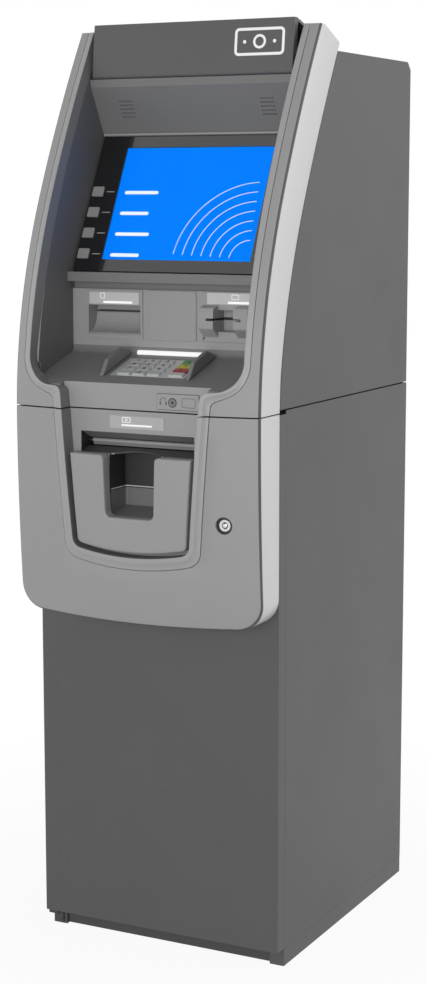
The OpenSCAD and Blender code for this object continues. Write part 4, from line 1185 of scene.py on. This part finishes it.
@dataclass
class Door:
    """Safe door with its fascia, strip, trim, cash panel, pocket, shutter and lock."""

    panel_t: float = 17.0
    panel_r: float = 3.2
    panel_top: float = 765.0
    near: tuple[float, ...] = (0.0, 0.15, 0.5, 1.1, 2.0, 3.2)
    strip_back: float = -22.45
    lock: Pair = (147.5, 674.5)
    lock_hole_r: float = 12.4
    pocket_x: float = 43.0
    tray_rim: float = 713.0
    shutter_axis: Pair = (-54.0, 779.0)

    def build(self) -> None:
        """Builds the door's pieces."""
        for node in ("door_plate", "door_slab"):
            eased(node, [Look.PAINT], 0.15)
        groove, inner, outer = (both_sides(line) for line in FORM.door_lines()[:3])
        self.fascia(groove, outer)
        strip = MOULDINGS.strip(groove, outer, np.full(len(outer), self.strip_back))
        build("door_side_strip", [strip], [Look.STRIP], "door", ["door_strip"], 0.25, 60)
        bead = MOULDINGS.bead(groove, inner, FORM.face(inner) + FORM.return_depth, np.zeros(len(inner)))
        build("door_trim", [bead], [Look.TRIM, Look.LINING], "door", ["lower_trim"], 0.25, 60)
        self.panel()
        chute = [Look.FASCIA, Look.LINING, Look.LINING_SHADE_AND_PRINT, Look.DEEP_SHADE]
        eased("cash_chute", chute, 0.5, sort=self.chute_looks)
        self.tray()
        self.shutter()
        self.lock_parts()
        self.label()

    @staticmethod
    def chute_looks(centre: Array, normal: Array) -> Array:
        """The plate in the front's tone, the slot's roof and the pocket's floor in the lining's tone, and
        painted shade: a darker sill and a near-black rest inside the slot and the pocket.
        """
        y, z = centre[:, 1], centre[:, 2]
        front = y < -75.9
        roof = (z > 781.0) & (z < 796.0) & (normal[:, 2] < -0.3)
        floor = (z < 690.0) & (normal[:, 2] > 0.9)
        sill = (z > 761.0) & (z < 773.0) & (normal[:, 2] > 0.3)
        return np.select([front, roof | floor, sill], [0, 1, 2], 3)

    def fascia(self, groove: Array, outer: Array) -> None:
        """The door's front moulding, with a round hole for the lock cut by a boolean that is then applied."""
        # The dark paint, look 1, is painted shade of the gap at the joint line.
        obj = build("door_moulding", [MOULDINGS.front(groove, outer)], [Look.FASCIA, Look.PAINT], "door",
                    ["lower_fascia"])
        hole = prism(facing(0.0, -100.0, 0.0), circle(self.lock_hole_r, 64, self.lock), -60.0, 20.0)
        tool = build("lock_hole_tool", [hole], [Look.FASCIA], "door")
        cut = obj.modifiers.new("lock hole", "BOOLEAN")
        cut.object, cut.solver = tool, "EXACT"
        done = evaluated(obj)
        obj.modifiers.remove(cut)
        obj.data = done
        bpy.data.objects.remove(tool)
        shade(done, 38.0)
        round_edges(obj, 0.3, 55.0)

    def panel(self) -> None:
        """The panel round the pocket.

        Rows run from its outer outline to the notch; the front follows the fascia and drops as a quarter
        round of radius r within r of an edge: r - sqrt(r^2 - (r - d)^2).
        """
        near = np.array(self.near)
        outer = self.sampled(FORM.door_lines()[3], 110, near)
        side = np.array([(-48.0, self.panel_top), (-42.0, 765.0), (-39.6, 690.0)])
        top = corner_arc(*side, 6.0, 8)
        foot = corner_arc(*np.array([(-39.6, 700.0), (-39.2, 675.0), (-20.0, 675.0)]), 9.0, 12)
        notch = self.sampled(np.vstack([side[0], top, foot, [[0.0, 675.0]]]), 110, near)
        left = outer * FLIP[:2]
        width = np.linalg.norm(notch - left, axis=1)[:, None]
        mid = np.linspace(0.12, 0.88, 8)[None, :] * width
        along = np.concatenate([near * np.ones_like(width), mid, width - near[::-1]], axis=1)
        away = np.minimum(along, width - along)
        xz = left[:, None] + ((notch - left) / width)[:, None] * along[..., None]
        r = self.panel_r
        drop = lambda d: r - np.sqrt(np.maximum(0.0, r * r - np.square(np.maximum(0.0, r - d))))
        y = FORM.face(xz) + np.maximum(drop(away), drop(self.panel_top - xz[..., 1]))
        rear = xz[:, [-1, 0]]
        rows = np.concatenate([section(xz, y), section(rear, FORM.face(rear) + self.panel_t)], axis=1)
        far = rows[-2::-1] * FLIP
        build("pocket_panel", [ring_loft(np.concatenate([rows, far]))], [Look.FASCIA], "door", ["cash_panel"],
              sharp=50)

    @staticmethod
    def sampled(path: Array, count: int, near: Array) -> Array:
        """A path divided evenly, with closer points within a few millimetres of its start."""
        run = np.concatenate([[0.0], np.cumsum(np.linalg.norm(np.diff(path, axis=0), axis=1))])
        want = np.concatenate([near / 3.2 * 0.016, np.linspace(0.016, 1.0, count)[1:]]) * run[-1]
        return np.column_stack([np.interp(want, run, path[:, k]) for k in (0, 1)])

    def tray(self) -> None:
        """The tray in the pocket's lower half: thin walls with a rounded rim in the strip's light tone, a
        painted highlight, and a dark band above the walls, just under the rim, painted shade of the joint
        there.
        """
        x, back, rim = self.pocket_x - 0.1, -38.1, self.tray_rim
        path = np.array([(-x, -82.0), (-x, back), (x, back), (x, -82.0)])
        path = np.vstack([path[0], corner_arc(*path[:3], 5.0, 8), corner_arc(*path[1:], 5.0, 8), path[3]])
        # The rim's light tone is a painted highlight; the black band under it is painted shade.
        rows = ((0.985, -0.9, 1.0, 676.0, rim, 0), (0.97, -1.8, 2.4, rim - 1.4, rim, 2),
                (0.985, -0.9, 1.2, rim - 3.2, rim - 1.5, 1))
        solids = [stroke(PLAN, path * scale + np.array([0.0, dy]), width, low, high, look=look)
                  for scale, dy, width, low, high, look in rows]
        build("pocket_tray", solids, [Look.LINING, Look.BLACK, Look.STRIP], "door", soften=0.3, angle=50)

    def shutter(self) -> None:
        """The round bar across the slot, its flap, and the dark pivots at its ends."""
        y, z = self.shutter_axis
        bar = prism(ACROSS, circle(3.1, 32, (y, z)), -86.5, 86.5)
        flap = prism(ACROSS, [(y - 0.8, z), (y - 0.8, 772.4), (y + 0.8, 772.4), (y + 0.8, z)], -86.5, 86.5, 1)
        pin = prism(ACROSS, circle(2.5, 24, (y, z)), -95.6, 95.6, 1)
        pivots = [prism(ACROSS, circle(3.5, 24, (y, z)), *ends, 2) for ends in ((-92.4, -87.4), (87.4, 92.4))]
        build("slot_shutter", [bar, flap, pin] + pivots, [Look.FASCIA, Look.LINING, Look.BLACK], "shutter",
              ["cash_shutter"], 0.3, 50)

    def lock_parts(self) -> None:
        """The lock: a bright ring and key cylinder on the plug that turns, in a dark ring that is painted
        shade of the hole's wall.
        """
        y, (x, z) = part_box("lock_plug")[0].y * 1000.0 - FRONT_Y, self.lock
        flat = facing(0.0, y, 0.0)
        rounds = (([(1.0, -56.0), (8.9, -56.0), (8.9, 0.0), (1.0, 0.0)], 48, 0),
                  ([(4.6, -1.0), (4.6, 0.2), (5.2, 0.8), (8.2, 0.8), (8.9, 0.2), (8.9, -1.0)], 48, 0),
                  ([(0.4, 0.02), (3.2, 0.02), (3.2, 0.5), (2.8, 0.7), (0.4, 0.7)], 36, 0),
                  ([(3.1, 0.01), (4.6, 0.01), (4.6, 0.06), (3.1, 0.06)], 36, 1))
        solids = [turned(flat, profile, self.lock, n, look) for profile, n, look in rounds]
        # The keyway is a black sliver on the cylinder's face, painted shade of the slot.
        solids.append(block((x - 0.6, y - 0.8, z + 2.0), (x + 0.6, y - 0.6, z + 3.6), 1))
        solids.append(block((x - 6, -15.0, z - 14), (x + 6, -12.0, z + 14)))
        build("lock_barrel", solids, [Look.BRIGHT, Look.BLACK], "lock", ["lock_plug"])
        # A near-black ring between the lock and the hole's edge: painted shade of the hole's wall.
        hole_shade = [(9.2, -1.0), (9.2, 0.6), (9.5, 0.85), (11.7, 0.85), (12.05, 0.6), (12.05, -1.0)]
        build("lock_hole_shade", [turned(flat, hole_shade, self.lock, 48)], [Look.DEEP_SHADE], "door")

    def label(self) -> None:
        """The light plate over the slot, with a glowing bar and a drawn banknote."""
        flat, note = facing(0.0, -79.0, 810.75), (-17.0, 3.4)
        solids = [plate(flat, (89.0, 18.5, 1.2), 0.02, 0.7),
                  plate(flat, (50.0, 2.4, 0.8), 0.4, 0.9, 1, (0.0, -4.2)),
                  outlined(flat, (13.0, 6.6, 1.0), 0.9, 0.4, 0.9, 1, note),
                  stroke(flat, circle(1.5, 18, note), 0.7, 0.4, 0.9, True, 1)]
        build("cash_label", solids, [Look.PLATE_DIM, Look.LIT], "door")


# ---------------------------------------------------------------- studio
@dataclass
class Studio:
    """Floor, world, lamps and camera."""

    azimuth: float = 27.0
    pitch: float = 8.64
    place: Triple = (1361.65, -2481.12, 1137.18)
    focal: float = 1936.33
    centre: Pair = (222.38, 486.82)
    size: Pair = (427.0, 984.0)
    sensor: float = 36.0
    ambient: float = 0.33
    floor_half: float = 9.0
    floor_tone: float = 0.55
    floor_fade: Four = (0.3, 1.1, 0.94, 1.0)
    lamps: tuple[tuple[str, Triple, Triple, float, float], ...] = (
        ("key_side", (3.0, 0.9, 2.3), (0.0, 0.0, 0.8), 2.2, 48.0),
        ("fill_front", (0.6, -4.2, 0.9), (0.0, 0.0, 0.65), 2.4, 80.0),
        ("fill_left", (-3.4, -1.6, 1.6), (0.0, 0.0, 0.8), 2.2, 20.0))

    def build(self) -> None:
        """Builds the studio."""
        self.floor()
        self.world()
        for lamp in self.lamps:
            self.lamp(*lamp)
        self.camera()

    def camera(self) -> None:
        """The camera at the user's right, looking a little down."""
        data = bpy.data.cameras.new("view")
        longest = max(self.size)
        data.sensor_width = self.sensor
        data.lens = self.focal * self.sensor / longest
        data.shift_x = (self.size[0] / 2 - self.centre[0]) / longest
        data.shift_y = (self.centre[1] - self.size[1] / 2) / longest
        data.clip_end = 60.0
        obj = in_scene("view", data)
        obj.location = to_row(np.array(self.place))
        obj.rotation_euler = (math.radians(90.0 - self.pitch), 0.0, math.radians(self.azimuth))
        bpy.context.scene.camera = obj

    def lamp(self, name: str, at: Triple, aim: Triple, size: float, power: float) -> None:
        """A square soft lamp.

        Args:
            name: Its name.
            at: Its place, in metres.
            aim: The point that it looks at.
            size: Its side, in metres.
            power: Its power, in watts.
        """
        data = bpy.data.lights.new(name, "AREA")
        data.size, data.energy = size, power
        obj = in_scene(name, data)
        obj.location = at
        obj.rotation_euler = (Vector(aim) - Vector(at)).to_track_quat("-Z", "Y").to_euler()

    def world(self) -> None:
        """White where it is seen, a soft even light elsewhere."""
        world = bpy.data.worlds.new("studio")
        bpy.context.scene.world = world
        world.use_nodes = True
        world.node_tree.nodes.clear()
        nodes = Nodes(world.node_tree)
        lit, white = (nodes.add("Background", {"Color": (1.0,) * 4, "Strength": strength})
                      for strength in (self.ambient, 1.0))
        nodes.add("OutputWorld", {"Surface": nodes.blend(nodes.seen(), lit, white)})

    def floor(self) -> None:
        """A wide pale floor that looks white and keeps the machine's soft shadow."""
        mesh = bpy.data.meshes.new("floor")
        far = self.floor_half
        mesh.from_pydata([(-far, -far, 0), (far, -far, 0), (far, far, 0), (-far, far, 0)], [], [(0, 1, 2, 3)])
        mat = bpy.data.materials.new("pale_floor")
        mat.use_nodes = True
        mat.node_tree.nodes.clear()
        nodes = Nodes(mat.node_tree)
        away = nodes.add("VectorMath", {0: nodes.add("TexCoord", {}, "Object")}, "Value", operation="LENGTH")
        fade = nodes.span(away, *self.floor_fade)
        share = nodes.add("Math", {0: nodes.seen(), 1: fade}, operation="MULTIPLY")
        matte = nodes.add("BsdfDiffuse", {"Color": (self.floor_tone,) * 3 + (1.0,)})
        light = nodes.add("Emission", {"Strength": 1.0})
        nodes.add("OutputMaterial", {"Surface": nodes.blend(share, matte, light)})
        mesh.materials.append(mat)
        in_scene("floor", mesh)


def main() -> None:
    """Builds the machine's sub-assemblies and the studio."""
    logging.basicConfig(level=logging.INFO, format="%(name)s: %(message)s")
    bpy.context.scene.view_settings.view_transform = "Standard"
    Studio().build()
    for part in (Cabinet(), HeadFascia(), Recess(), Screen(), Modules(), Keypad(), Apron(), Door()):
        part.build()
        LOG.info("%s done", type(part).__name__)


if __name__ == "__main__":
    main()
